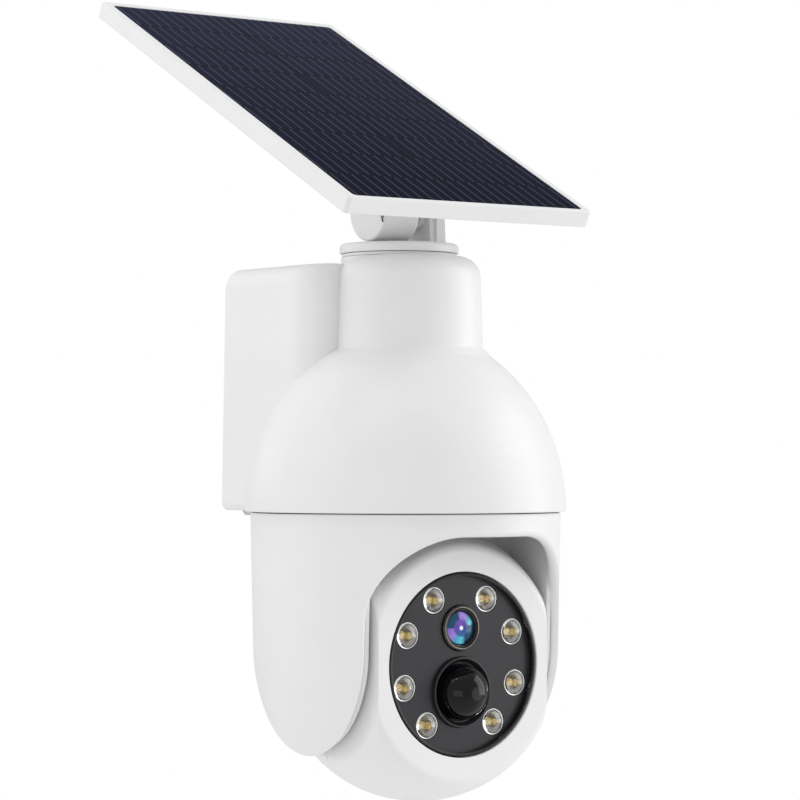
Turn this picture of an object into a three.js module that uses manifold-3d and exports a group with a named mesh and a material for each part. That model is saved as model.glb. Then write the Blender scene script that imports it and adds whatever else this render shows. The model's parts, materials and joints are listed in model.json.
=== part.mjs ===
// A solar-powered pan-and-tilt security camera for a wall.
//
// Frame: millimetres, +Z up. The origin is the centre of the wall plate's back face, +Y points into
// the wall and the camera looks towards -Y. Most pieces are drawn in a group whose own origin is on
// the pan axis in the plane of the dome's rim.
import * as THREE from "three";
import { mergeVertices } from "three/addons/utils/BufferGeometryUtils.js";
import Module from "manifold-3d";

const wasm = await Module();
wasm.setup();

// ---- driving dimensions -------------------------------------------------------------------------

const AXIS_TO_WALL = 63; // pan axis to wall
const WALL_PLATE_HALF_HEIGHT = 44; // rim plane to the middle of the wall plate
const WALL = 2.5; // moulded wall
const GAP = 0.3; // between neighbouring pieces

const DOME_RADIUS = 59;
const DOME_HEIGHT = 67; // vertical semi-axis of the dome's ellipse
const NECK_FORWARD = 2.5;
const NECK_RADIUS = 27;
const NECK_TOP_RADIUS = 25.9;
const NECK_TOP = 93.5;
const NECK_ROUNDING = 8;

const BOX_HALF_WIDTH = 40; // at the bottom
const BOX_TOP_HALF_WIDTH = 38.2;
const BOX_TOP = 90.8;
const BOX_FRONT = 8;
const BOX_CORNER = 8;
const BOX_EDGE = 11; // rounding of the upright front edges

const LEDGE = { inner: 49.5, low: 5.7, high: 8.2 };
const BASE_PLATE = { radius: 55.9, low: 1.2, high: 3.7 };
const BEARING = { inner: 12.95, sleeve: 14.6, flange: 16 };
const HUB = { radius: 12.7, bore: 9.5, top: 8.4 };
const SHAFT_RADIUS = 2.5;
const SHAFT_HOLE = 2.9;

const YOKE_RADIUS = 57;
const YOKE_DRAFT_RADIUS = 56; // where the straight skirt ends
const YOKE_SKIRT = -48.4;
const YOKE_BOWL = 63.3; // vertical semi-axis of the rounded lower end
const YOKE_TOP = -0.35;
const SLOT_HALF_WIDTH = 42.3;
const SLOT_TOP = -8.5;
const SLOT_CORNER = 29;
const LOBE_COVER = { inner: 40, outer: 42 };

const TILT_AXIS = { y: -7.5, z: -54.5 };
const BALL_RADIUS = 51;
const BALL_FACE = -28; // flat front, from the tilt axis
const BALL_SIDE = 38;
const BALL_SPLIT = 4;
const FACE_RADIUS = 33;
const FACE_THICKNESS = 4.4;
const FACE_FLOOR = 2.4; // depth of the flat inside the face plate's rim

const LED_RING = 26;
const LED_ANGLES = [27, 65, 107, 145]; // from straight up, on both sides
const LED_RADIUS = 4.6;
const LENS_HEIGHT = 13;
const LENS_RADIUS = 7;
const PIR_HEIGHT = -10;
const PIR_RADIUS = 10;
const PIR_RECESS = 12.6;
const LED_BOARD = { front: 6.2, back: 7.8, radius: 30.6 };

const SWIVEL_Y = 4;
const SWIVEL_RADIUS = 22;
const SWIVEL_LOW = 94.8;
const SWIVEL_HIGH = 98.4;
const PANEL_AXIS_Z = 110.4;
const KNUCKLE = { radius: 11.3, left: -14.4, right: 1.3 };
const EAR = { radius: 8.5, left: 7.6, right: 14.9, bossLeft: 1.6, bossRadius: 6.5 };
const CLAMP_HEAD = { radius: 5.6, thickness: 1.8 };
const BOLT_RADIUS = 2.4;

const PANEL_TILT = THREE.MathUtils.degToRad(27.8);
const PANEL = { width: 110, length: 189, thickness: 6.5, front: -40.2, top: 21, corner: 1.5 };
const LAMINATE = { side: 3.1, front: 1.8, back: 3.8, thickness: 1.5, recess: 1.6 };

const FINE = 36; // segments round a large turned piece
const MEDIUM = 24;
const COARSE = 12;

// ---- finishes -----------------------------------------------------------------------------------

const finish = (color, roughness, metalness = 0) => ({ color, roughness, metalness });
const WHITE = finish(0xf2f2f2, 0.5);
const GREY_RUBBER = finish(0x55585c, 0.85);
const BLACK_PLASTIC = finish(0x1c1d20, 0.35);
const INNER_PLASTIC = finish(0xb9bcc0, 0.6);
const NYLON = finish(0xe6e2d4, 0.55);
const STEEL = finish(0xb8babd, 0.35, 1);
const BRASS = finish(0xc9a24b, 0.35, 1);
const BOARD = finish(0x1f5a36, 0.5);
const CELL_WRAP = finish(0x2f6fa8, 0.4);
const CLEAR = finish(0xf4f6f8, 0.1);
const SOLAR = finish(0x1b1c33, 0.2);
const LENS_BLUE = finish(0x1a2a6c, 0.1);

// ---- solids -------------------------------------------------------------------------------------

// A closed geometry as a manifold solid.
function solidOf(geometry) {
  const bare = geometry.clone();
  bare.deleteAttribute("normal");
  bare.deleteAttribute("uv");
  const merged = mergeVertices(bare);
  return new wasm.Manifold(
    new wasm.Mesh({
      numProp: 3,
      vertProperties: merged.attributes.position.array,
      triVerts: new Uint32Array(merged.index.array),
    }),
  );
}

function geometryOf(solid) {
  const mesh = solid.getMesh();
  const geometry = new THREE.BufferGeometry();
  geometry.setAttribute("position", new THREE.BufferAttribute(mesh.vertProperties, 3));
  geometry.setIndex(new THREE.BufferAttribute(mesh.triVerts, 1));
  geometry.computeVertexNormals();
  return geometry;
}

const join = (first, ...others) =>
  geometryOf(others.reduce((sum, other) => sum.add(solidOf(other)), solidOf(first)));

const cut = (base, ...tools) =>
  geometryOf(tools.reduce((rest, tool) => rest.subtract(solidOf(tool)), solidOf(base)));

const common = (first, second) => geometryOf(solidOf(first).intersect(solidOf(second)));

// A profile of [radius, height] points turned about the Y axis. A profile that starts and ends away
// from the axis is a ring and is closed on itself.
function turnedAboutY(profile, segments = MEDIUM) {
  const points = profile.map(([radius, height]) => new THREE.Vector2(radius, height));
  if (THREE.ShapeUtils.isClockWise(points)) points.reverse();
  const onAxis = points.some((point) => point.x === 0);
  if (!onAxis) points.push(points[0].clone());
  return new THREE.LatheGeometry(points, segments);
}

const turned = (profile, segments = MEDIUM) => turnedAboutY(profile, segments).rotateX(Math.PI / 2);
const turnedAboutX = (profile, segments = MEDIUM) =>
  turnedAboutY(profile, segments).rotateZ(-Math.PI / 2);

const discProfile = (radius, low, high) => [
  [0, low],
  [radius, low],
  [radius, high],
  [0, high],
];

const ringProfile = (inner, outer, low, high) => [
  [inner, low],
  [outer, low],
  [outer, high],
  [inner, high],
];

// A block between two corners.
function block(x0, x1, y0, y1, z0, z1) {
  const geometry = new THREE.BoxGeometry(x1 - x0, y1 - y0, z1 - z0);
  return geometry.translate((x0 + x1) / 2, (y0 + y1) / 2, (z0 + z1) / 2);
}

// A convex outline whose corners are rounded: corners is a list of [x, y, radius] in anticlockwise order.
function roundedOutline(corners, steps = 5) {
  const shape = new THREE.Shape();
  const points = [];
  corners.forEach(([x, y, radius], i) => {
    const here = new THREE.Vector2(x, y);
    const [px, py] = corners[(i + corners.length - 1) % corners.length];
    const [nx, ny] = corners[(i + 1) % corners.length];
    if (!radius) {
      points.push(here);
      return;
    }
    const toPrevious = new THREE.Vector2(px - x, py - y).normalize();
    const toNext = new THREE.Vector2(nx - x, ny - y).normalize();
    const half = Math.acos(toPrevious.dot(toNext)) / 2;
    const reach = radius / Math.tan(half);
    const start = here.clone().addScaledVector(toPrevious, reach);
    const end = here.clone().addScaledVector(toNext, reach);
    const bisector = toPrevious.clone().add(toNext).normalize();
    const centre = here.clone().addScaledVector(bisector, radius / Math.sin(half));
    const from = Math.atan2(start.y - centre.y, start.x - centre.x);
    let sweep = Math.atan2(end.y - centre.y, end.x - centre.x) - from;
    if (sweep < 0) sweep += 2 * Math.PI;
    for (let k = 0; k <= steps; k += 1) {
      const angle = from + (sweep * k) / steps;
      points.push(
        new THREE.Vector2(centre.x + radius * Math.cos(angle), centre.y + radius * Math.sin(angle)),
      );
    }
  });
  return shape.setFromPoints(points);
}

const slab = (shape, depth) => new THREE.ExtrudeGeometry(shape, { depth, bevelEnabled: false });

const X = new THREE.Vector3(1, 0, 0);
const Z = new THREE.Vector3(0, 0, 1);
const BACKWARDS = new THREE.Vector3(0, -1, 0);

// An XZ outline as a slab from y0 to y1.
function slabAlongY(shape, y0, y1) {
  const upright = new THREE.Matrix4().makeBasis(X, Z, BACKWARDS);
  return slab(shape, y1 - y0).applyMatrix4(upright).translate(0, y1, 0);
}

// Points of a quarter ellipse, from its widest place (at height centre) to the height end.
function ellipseArc(radius, semi, centre, end, steps) {
  const last = Math.asin(THREE.MathUtils.clamp((end - centre) / semi, -1, 1));
  return Array.from({ length: steps + 1 }, (_, k) => {
    const angle = (last * k) / steps;
    return [radius * Math.cos(angle), centre + semi * Math.sin(angle)];
  });
}

// ---- the scene graph ----------------------------------------------------------------------------

const camera = new THREE.Group();
const housing = new THREE.Group();
housing.position.set(0, -AXIS_TO_WALL, -WALL_PLATE_HALF_HEIGHT);
const head = new THREE.Group();
head.position.set(0, TILT_AXIS.y, TILT_AXIS.z);
const faceGroup = new THREE.Group(); // its origin is the middle of the ball's flat front
faceGroup.position.set(0, BALL_FACE, 0);
head.add(faceGroup);
const panel = new THREE.Group();
panel.position.set(0, SWIVEL_Y, PANEL_AXIS_Z);
panel.rotation.x = PANEL_TILT;
housing.add(head, panel);
camera.add(housing);

function add(group, name, geometry, look) {
  const mesh = new THREE.Mesh(geometry, new THREE.MeshStandardMaterial(look));
  mesh.name = name;
  group.add(mesh);
}

// ---- housing ------------------------------------------------------------------------------------

// The dome, the neck and the swivel boss as one solid, each drawn inwards by inset.
function domeAndNeck(inset) {
  const dome = turned(
    [[0, -inset], ...ellipseArc(DOME_RADIUS - inset, DOME_HEIGHT - inset, 0, 62, 7), [0, 62]].map(
      ([radius, height]) => [radius, Math.max(height, -inset)],
    ),
    FINE,
  );
  const shoulder = NECK_TOP - NECK_ROUNDING;
  const rounding = ellipseArc(NECK_ROUNDING, NECK_ROUNDING, 0, NECK_ROUNDING, 4).map(([r, z]) => [
    NECK_TOP_RADIUS - NECK_ROUNDING + r - inset,
    shoulder + z - inset,
  ]);
  const neck = turned([[0, 50], [NECK_RADIUS + 0.2 - inset, 50], ...rounding, [0, NECK_TOP - inset]], FINE);
  neck.translate(0, -NECK_FORWARD, 0);
  const boss = turned(discProfile(SWIVEL_RADIUS - 0.6 - inset, 60, NECK_TOP - inset), FINE);
  boss.translate(0, SWIVEL_Y, 0);
  return join(dome, neck, boss);
}

// The rear box drawn inwards by inset; its back stays open when back lies beyond the housing.
function rearBox(inset, back) {
  const outline = roundedOutline([
    [-BOX_HALF_WIDTH + inset, inset, 3],
    [BOX_HALF_WIDTH - inset, inset, 3],
    [BOX_TOP_HALF_WIDTH - inset, BOX_TOP - inset, BOX_CORNER - inset],
    [-BOX_TOP_HALF_WIDTH + inset, BOX_TOP - inset, BOX_CORNER - inset],
  ]);
  const plan = roundedOutline([
    [-BOX_HALF_WIDTH + inset, BOX_FRONT + inset, BOX_EDGE - inset],
    [BOX_HALF_WIDTH - inset, BOX_FRONT + inset, BOX_EDGE - inset],
    [BOX_HALF_WIDTH - inset, back, 0],
    [-BOX_HALF_WIDTH + inset, back, 0],
  ]);
  return common(slabAlongY(outline, BOX_FRONT, back), slab(plan, BOX_TOP + 1));
}

// The side pocket under the rubber flap holds the charging port and the power switch.
const POCKET = { y0: 39.7, y1: 58.3, z0: 29.7, z1: 58.3, floor: 37.9 };
const PORT = { y: 49, z: 51, halfWidth: 4.5, halfHeight: 1.7 };
const SWITCH = { y: 49, z: 38.5, halfWidth: 1.6, travel: 2.5, halfLength: 1.8 };
const SPEAKER = { y: 28.5, z: 65, radius: 12, hole: 1, ring: 5 };
const LOCK_SCREW = { x: -30, y: 57.5 };

function mainHousing() {
  const outside = join(domeAndNeck(0), rearBox(0, AXIS_TO_WALL - GAP));
  const inside = join(domeAndNeck(WALL), rearBox(WALL, AXIS_TO_WALL + 5));
  const ledge = turned(ringProfile(LEDGE.inner, DOME_RADIUS - 1.5, LEDGE.low, LEDGE.high), FINE);
  const shell = join(cut(outside, inside), ledge);
  const far = BOX_HALF_WIDTH + 2;
  const holes = [
    turned(discProfile(7.4, NECK_TOP - 6, NECK_TOP + 2), COARSE).translate(0, SWIVEL_Y, 0),
    block(POCKET.floor, far, POCKET.y0, POCKET.y1, POCKET.z0, POCKET.z1),
    block(
      30, far,
      PORT.y - PORT.halfWidth - GAP, PORT.y + PORT.halfWidth + GAP,
      PORT.z - PORT.halfHeight - GAP, PORT.z + PORT.halfHeight + GAP,
    ),
    block(
      30, far,
      SWITCH.y - SWITCH.halfWidth - GAP, SWITCH.y + SWITCH.halfWidth + GAP,
      SWITCH.z - SWITCH.halfLength - GAP, SWITCH.z + SWITCH.halfLength + SWITCH.travel + GAP,
    ),
    turned(discProfile(1.9, -1, 4), COARSE).translate(LOCK_SCREW.x, LOCK_SCREW.y, 0),
  ];
  for (let k = 0; k < 7; k += 1) {
    const radius = k === 0 ? 0 : SPEAKER.ring;
    const angle = (k * Math.PI) / 3;
    holes.push(
      turnedAboutX(discProfile(SPEAKER.hole, 30, far), 8).translate(
        0,
        SPEAKER.y + radius * Math.cos(angle),
        SPEAKER.z + radius * Math.sin(angle),
      ),
    );
  }
  return cut(shell, ...holes);
}

add(housing, "main_housing", mainHousing(), WHITE);

function wallPlate() {
  const inset = WALL + GAP;
  const outline = roundedOutline([
    [-BOX_HALF_WIDTH + inset, inset, 3],
    [BOX_HALF_WIDTH - inset, inset, 3],
    [BOX_TOP_HALF_WIDTH - inset, BOX_TOP - inset, BOX_CORNER - inset],
    [-BOX_TOP_HALF_WIDTH + inset, BOX_TOP - inset, BOX_CORNER - inset],
  ]);
  const plate = slabAlongY(outline, AXIS_TO_WALL - 3, AXIS_TO_WALL);
  const lug = block(LOCK_SCREW.x - 4, LOCK_SCREW.x + 4, 53.5, AXIS_TO_WALL - 2, 3.2, 8);
  const screwHole = turned(discProfile(1.8, 0, 12), COARSE).translate(LOCK_SCREW.x, LOCK_SCREW.y, 0);
  const wallHoles = [-1, 1].flatMap((side) =>
    [22, 66].map((z) =>
      turnedAboutY(discProfile(2.3, AXIS_TO_WALL - 6, AXIS_TO_WALL + 2), COARSE).translate(side * 24, 0, z),
    ),
  );
  return cut(join(plate, lug), screwHole, ...wallHoles);
}

add(housing, "wall_plate", wallPlate(), WHITE);

// A pan-head screw pointing up, with its head's underside at the origin and a cross recess below.
function screw(shank, length, headRadius, headHeight) {
  const body = turned(
    [[0, -headHeight], [headRadius * 0.7, -headHeight], [headRadius, -headHeight * 0.4], [headRadius, 0],
      [shank, 0], [shank, length - shank], [0, length]],
    COARSE,
  );
  const slotWidth = headRadius * 0.16;
  const slotReach = headRadius * 0.62;
  const depth = [-headHeight - 1, -headHeight * 0.45];
  return cut(
    body,
    block(-slotReach, slotReach, -slotWidth, slotWidth, ...depth),
    block(-slotWidth, slotWidth, -slotReach, slotReach, ...depth),
  );
}

add(housing, "plate_lock_screw", screw(1.5, 8.2, 3, 1.8).translate(LOCK_SCREW.x, LOCK_SCREW.y, -0.1), STEEL);

const BOARD_POSTS = [[-25, -25], [25, -25], [-25, 25], [25, 25]];
const MOTOR_POSTS = [[-19, 8], [19, 8]];
const MAIN_BOARD_LOW = 33;
const PAN_MOTOR = { low: 11, high: 30, radius: 14, y: 8 };

function basePlate() {
  const { radius, low, high } = BASE_PLATE;
  const plate = turned(ringProfile(BEARING.sleeve + GAP, radius, low, high), FINE);
  const start = high - 1;
  const boardPosts = BOARD_POSTS.map(([x, y]) =>
    turned(discProfile(2.6, start, MAIN_BOARD_LOW - GAP), 10).translate(x, y, 0),
  );
  const motorPosts = MOTOR_POSTS.map(([x, y]) =>
    turned(discProfile(2.4, start, PAN_MOTOR.low - GAP), 10).translate(x, y, 0),
  );
  return join(plate, ...boardPosts, ...motorPosts);
}

add(housing, "base_plate", basePlate(), INNER_PLASTIC);
add(
  housing,
  "rim_gasket",
  turned(ringProfile(50.5, 54, BASE_PLATE.high + 0.1, LEDGE.low - 0.1), FINE),
  GREY_RUBBER,
);
add(
  housing,
  "pan_bearing",
  turned(
    [[BEARING.inner, BASE_PLATE.low], [BEARING.sleeve, BASE_PLATE.low],
      [BEARING.sleeve, BASE_PLATE.high + 0.1], [BEARING.flange, BASE_PLATE.high + 0.1],
      [BEARING.flange, 5.3], [BEARING.inner, 5.3]],
  ),
  NYLON,
);

function panMotor() {
  const { low, high, radius, y } = PAN_MOTOR;
  const can = turned(discProfile(radius, low, high)).translate(0, y, 0);
  const ears = block(-22, 22, y - 3.5, y + 3.5, low, low + 1.2);
  const nose = turned(discProfile(4.5, 9.2, low + 1), COARSE);
  const plug = block(-7, 7, y + 12, y + 17, 17, 24);
  const shaftHole = turned(discProfile(SHAFT_HOLE, 8, 17.5), COARSE);
  return cut(join(can, ears, nose, plug), shaftHole);
}

add(housing, "pan_motor", panMotor(), STEEL);

const CELL = { radius: 9.2, y: 49, low: 10.7, length: 65, pitch: 19.6 };
const HOLDER = { halfWidth: 30, front: 41, back: 59.6, low: 8.8, high: 78 };

["left", "middle", "right"].forEach((place, i) => {
  const cell = turned(
    [[0, 0], [CELL.radius, 0], [CELL.radius, CELL.length - 2], [CELL.radius - 1, CELL.length - 1.3],
      [3.2, CELL.length - 1.3], [3.2, CELL.length], [0, CELL.length]],
    20,
  );
  add(housing, "battery_cell_" + place, cell.translate((i - 1) * CELL.pitch, CELL.y, CELL.low), CELL_WRAP);
});

function batteryHolder() {
  const { halfWidth, front, back, low, high } = HOLDER;
  return join(
    block(-halfWidth, halfWidth, back - 1, back, low, high),
    block(-halfWidth, halfWidth, front, back, low, CELL.low - 0.2),
    block(-halfWidth, halfWidth, front, back, CELL.low + CELL.length + 0.2, high),
  );
}

add(housing, "battery_holder", batteryHolder(), BLACK_PLASTIC);

function mainBoard() {
  const top = MAIN_BOARD_LOW + 1.6;
  const sunk = top - 0.4;
  return join(
    block(-30, 30, -30, 32, MAIN_BOARD_LOW, top),
    block(-8, 8, -8, 8, sunk, top + 1.4),
    block(-24, -12, 12, 26, sunk, top + 2.2),
    block(14, 26, -20, -8, sunk, top + 3),
    block(-26, -20, -24, -4, sunk, top + 5),
    block(10, 26, 24, 30, sunk, top + 6),
  );
}

add(housing, "main_board", mainBoard(), BOARD);
add(housing, "wifi_antenna", block(-3, 3, -21, -20.2, 52, 84), BLACK_PLASTIC);

function speaker() {
  const back = 27.5;
  const front = BOX_TOP_HALF_WIDTH - WALL - 0.4;
  return turnedAboutX(
    [[0, back], [SPEAKER.radius * 0.6, back], [SPEAKER.radius, back + 4], [SPEAKER.radius, front],
      [SPEAKER.radius - 1.6, front], [SPEAKER.radius - 3, front - 1.4], [0, front - 1.4]],
    24,
  ).translate(0, SPEAKER.y, SPEAKER.z);
}

add(housing, "speaker", speaker(), BLACK_PLASTIC);

function chargingPort() {
  const body = block(
    30.2, POCKET.floor - 0.2,
    PORT.y - PORT.halfWidth, PORT.y + PORT.halfWidth,
    PORT.z - PORT.halfHeight, PORT.z + PORT.halfHeight,
  );
  const mouth = block(
    32, 40,
    PORT.y - PORT.halfWidth + 0.4, PORT.y + PORT.halfWidth - 0.4,
    PORT.z - PORT.halfHeight + 0.4, PORT.z + PORT.halfHeight - 0.4,
  );
  const tongue = block(31.5, POCKET.floor - 1, PORT.y - 3, PORT.y + 3, PORT.z - 0.35, PORT.z + 0.35);
  return join(cut(body, mouth), tongue);
}

add(housing, "charging_port", chargingPort(), STEEL);

const SWITCH_BODY = { back: 31, front: 36.2 };
add(
  housing,
  "switch_body",
  block(SWITCH_BODY.back, SWITCH_BODY.front, SWITCH.y - 4, SWITCH.y + 4, SWITCH.z - 4.5, SWITCH.z + 7),
  BLACK_PLASTIC,
);
add(
  housing,
  "power_switch",
  block(
    SWITCH_BODY.front + 0.15, POCKET.floor - 0.2,
    SWITCH.y - SWITCH.halfWidth, SWITCH.y + SWITCH.halfWidth,
    SWITCH.z - SWITCH.halfLength, SWITCH.z + SWITCH.halfLength,
  ),
  BLACK_PLASTIC,
);

const FLAP_OUTSIDE = 39.9;
function portFlap() {
  const lid = block(
    POCKET.floor + 0.15, FLAP_OUTSIDE,
    POCKET.y0 + GAP, POCKET.y1 - GAP, POCKET.z0 + GAP, POCKET.z1 - GAP,
  );
  const tab = block(FLAP_OUTSIDE - 0.4, FLAP_OUTSIDE + 1, POCKET.y0 + 1, POCKET.y0 + 3, 40, 48);
  return join(lid, tab);
}

add(housing, "port_flap", portFlap(), WHITE);
add(
  housing,
  "swivel_seal",
  turned(ringProfile(16, SWIVEL_RADIUS - 0.9, NECK_TOP + 0.1, SWIVEL_LOW - 0.2), FINE).translate(
    0,
    SWIVEL_Y,
    0,
  ),
  GREY_RUBBER,
);

// ---- yoke ---------------------------------------------------------------------------------------

// The yoke's body of revolution, drawn inwards by inset.
function yokeSolid(inset, top) {
  const bowl = ellipseArc(YOKE_DRAFT_RADIUS - inset, YOKE_BOWL - inset, 0, -52 + inset, 6);
  const low = bowl[bowl.length - 1][1] + YOKE_SKIRT;
  const outside = bowl.map(([r, z]) => [r, z + YOKE_SKIRT]);
  return turned([[0, top], [YOKE_RADIUS - inset, top], ...outside, [0, low]], FINE);
}

function yokeShell() {
  const hollow = cut(yokeSolid(0, YOKE_TOP), yokeSolid(WALL, 5));
  const slot = roundedOutline(
    [
      [-SLOT_HALF_WIDTH, -130, 0],
      [SLOT_HALF_WIDTH, -130, 0],
      [SLOT_HALF_WIDTH, SLOT_TOP, SLOT_CORNER],
      [-SLOT_HALF_WIDTH, SLOT_TOP, SLOT_CORNER],
    ],
    7,
  );
  return cut(hollow, slabAlongY(slot, -70, 70));
}

add(housing, "yoke_shell", yokeShell(), WHITE);

const ROOF = { low: -2.8, high: -0.8 };
function yokeRoof() {
  const disc = turned(ringProfile(HUB.bore, YOKE_RADIUS - WALL - GAP, ROOF.low, ROOF.high), FINE);
  const tube = turned(ringProfile(HUB.bore, HUB.radius, ROOF.high - 1, HUB.top), MEDIUM);
  const web = turned(ringProfile(SHAFT_RADIUS + 0.2, HUB.bore + 1, 5.5, 7.5), COARSE);
  const wireHole = turned(discProfile(2.2, 4, 10), 10).translate(6, 0, 0);
  return cut(join(disc, tube, web), wireHole);
}

add(housing, "yoke_roof", yokeRoof(), INNER_PLASTIC);
add(housing, "hub_retainer", turned(ringProfile(HUB.radius + 0.1, 16, 5.6, 7.2)), STEEL);
add(housing, "pan_output_shaft", turned(discProfile(SHAFT_RADIUS, 0, 16.8), COARSE), STEEL);

// The inner wall of one lobe: side is -1 on the left and 1 on the right.
function lobeCover(side, hole, bossRadius, bossEnd) {
  const inner = side * LOBE_COVER.inner;
  const outer = side * LOBE_COVER.outer;
  const sheet = block(Math.min(inner, outer), Math.max(inner, outer), -60, 60, -110, ROOF.low - GAP);
  const wall = common(sheet, yokeSolid(WALL + GAP, 0));
  const along = (from, to) => [Math.min(side * from, side * to), Math.max(side * from, side * to)];
  const place = (geometry) => geometry.translate(0, TILT_AXIS.y, TILT_AXIS.z);
  const boss = place(turnedAboutX(discProfile(bossRadius, ...along(LOBE_COVER.outer - 0.5, bossEnd)), 20));
  const bore = place(turnedAboutX(discProfile(hole, ...along(30, bossEnd - 1.5)), COARSE));
  const screwBoss = turnedAboutX(discProfile(3, ...along(LOBE_COVER.outer - 0.5, 47)), 10);
  screwBoss.translate(0, 0, -24);
  return cut(join(wall, boss, screwBoss), bore);
}

add(housing, "left_lobe_cover", lobeCover(-1, SHAFT_RADIUS + 0.2, 6, 47), INNER_PLASTIC);
add(housing, "right_lobe_cover", lobeCover(1, 8.4, 11, 46), INNER_PLASTIC);
add(
  housing,
  "tilt_output_shaft",
  turnedAboutX(discProfile(SHAFT_RADIUS, -45.2, -28), COARSE).translate(0, TILT_AXIS.y, TILT_AXIS.z),
  STEEL,
);
const PIVOT = { radius: 6, bore: 3.6, flange: 9 };
add(
  housing,
  "right_pivot_bush",
  turnedAboutX(ringProfile(PIVOT.radius + 0.2, 8.1, 39.1, 44.2), 24).translate(0, TILT_AXIS.y, TILT_AXIS.z),
  NYLON,
);

// ---- camera head --------------------------------------------------------------------------------

// The ball: a sphere with a flat face in front and a flat on each side, drawn inwards by inset.
function ballSolid(inset, face) {
  const radius = BALL_RADIUS - inset;
  const steps = 9;
  const start = Math.asin((face + 2.2) / radius);
  const arc = Array.from({ length: steps + 1 }, (_, k) => {
    const angle = start + ((Math.PI / 2 - start) * k) / steps;
    return [k === steps ? 0 : radius * Math.cos(angle), radius * Math.sin(angle)];
  });
  const edge = arc[0][0];
  const profile = [[0, face], [edge - 3.2, face], [edge - 1.1, face + 0.6], ...arc];
  const side = BALL_SIDE - inset;
  return common(turnedAboutY(profile, FINE), block(-side, side, -60, 60, -60, 60));
}

const HATCH = { halfWidth: 13, low: -21, high: -7, lid: 2.4, floor: 38 };
const FACE_LEDGE = 31.2;
const FACE_RECESS_FLOOR = BALL_FACE + 0.2 + FACE_THICKNESS;

const ballShell = cut(ballSolid(0, BALL_FACE), ballSolid(WALL, BALL_FACE + 6.4));
const everythingBehind = (y) => block(-70, 70, y, 70, -70, 70);
const everythingBefore = (y) => block(-70, 70, -70, y, -70, 70);

function ballFrontShell() {
  return cut(
    ballShell,
    everythingBehind(BALL_SPLIT - 0.1),
    turnedAboutY(discProfile(FACE_LEDGE, -40, -20), FINE),
    turnedAboutY(discProfile(FACE_RADIUS + GAP, -40, FACE_RECESS_FLOOR + 0.1), FINE),
    turnedAboutX(discProfile(5.2, -45, -30), COARSE),
    turnedAboutX(discProfile(PIVOT.radius + 0.5, 30, 45), COARSE),
  );
}

// The hatch opening is a stepped pocket: a shallow seat for the lid and a deeper well behind it.
function ballRearShell() {
  const { halfWidth, low, high, lid, floor } = HATCH;
  const well = block(-halfWidth, halfWidth, floor - 2, 60, low, high);
  const lining = common(
    block(-halfWidth - 4, halfWidth + 4, floor - 3.5, 60, low - 4, high + 4),
    ballSolid(1, BALL_FACE),
  );
  const seatSolid = ballSolid(lid + 0.8, BALL_FACE);
  const seat = cut(block(-halfWidth - 2, halfWidth + 2, 20, 60, low - 2, high + 2), seatSolid);
  return cut(
    join(ballShell, lining),
    everythingBefore(BALL_SPLIT + 0.1),
    well,
    seat,
    block(-9, 9, 30, 60, low + 4, low + 8),
    turnedAboutY(discProfile(1.7, 30, 60), 12).translate(0, 0, high - 3.2),
    turnedAboutX(discProfile(5.2, -45, -30), COARSE),
    turnedAboutX(discProfile(PIVOT.radius + 0.5, 30, 45), COARSE),
  );
}

add(head, "ball_front_shell", ballFrontShell(), WHITE);
add(head, "ball_rear_shell", ballRearShell(), WHITE);

function serviceCover() {
  const { halfWidth, low, high, lid } = HATCH;
  const patch = block(-halfWidth - 1.7, halfWidth + 1.7, 20, 60, low - 1.7, high + 1.7);
  return cut(common(patch, ballSolid(0, BALL_FACE)), ballSolid(lid, BALL_FACE));
}

add(head, "service_cover", serviceCover(), WHITE);
add(
  head,
  "card_slot",
  cut(
    block(-8, 8, 22, HATCH.floor - 2.2, HATCH.low + 4.4, HATCH.low + 7.6),
    block(-6, 6, 24, 40, HATCH.low + 5.4, HATCH.low + 6.6),
  ),
  STEEL,
);
add(
  head,
  "reset_button",
  turnedAboutY([[0, 30], [2.6, 30], [2.6, 31.6], [1.4, 31.6], [1.4, 36.8], [0, 37.1]], 12).translate(
    0,
    0,
    HATCH.high - 3.2,
  ),
  BLACK_PLASTIC,
);

// Places of the eight lights on the face, as [x, z], from the top right one round.
const ledPlaces = [...LED_ANGLES, ...LED_ANGLES.map((angle) => 360 - angle).reverse()].map((angle) => {
  const turn = THREE.MathUtils.degToRad(angle);
  return [LED_RING * Math.sin(turn), LED_RING * Math.cos(turn)];
});

function facePlate() {
  const front = 0.2;
  const plate = turnedAboutY(
    [[0, FACE_FLOOR], [FACE_RADIUS - 1.6, FACE_FLOOR], [FACE_RADIUS - 1.3, front + 0.2],
      [FACE_RADIUS - 0.7, front], [FACE_RADIUS, front + 0.7], [FACE_RADIUS, front + FACE_THICKNESS],
      [0, front + FACE_THICKNESS]],
    FINE,
  );
  const hole = (radius, x, z) => turnedAboutY(discProfile(radius, -6.5, 8.5), 20).translate(x, 0, z);
  return cut(
    plate,
    ...ledPlaces.map(([x, z]) => hole(LED_RADIUS + GAP, x, z)),
    hole(8.4, 0, LENS_HEIGHT),
    hole(PIR_RECESS + 0.2, 0, PIR_HEIGHT),
  );
}

add(faceGroup, "face_plate", facePlate(), BLACK_PLASTIC);

ledPlaces.forEach(([x, z], i) => {
  const lens = turnedAboutY(
    [[0, 1], [2.4, 1.3], [LED_RADIUS - 0.5, 2.1], [LED_RADIUS, 2.5], [LED_RADIUS, 5.1], [0, 5.1]],
    COARSE,
  );
  add(faceGroup, "led_lens_" + (i + 1), lens.translate(x, 0, z), CLEAR);
});

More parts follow.
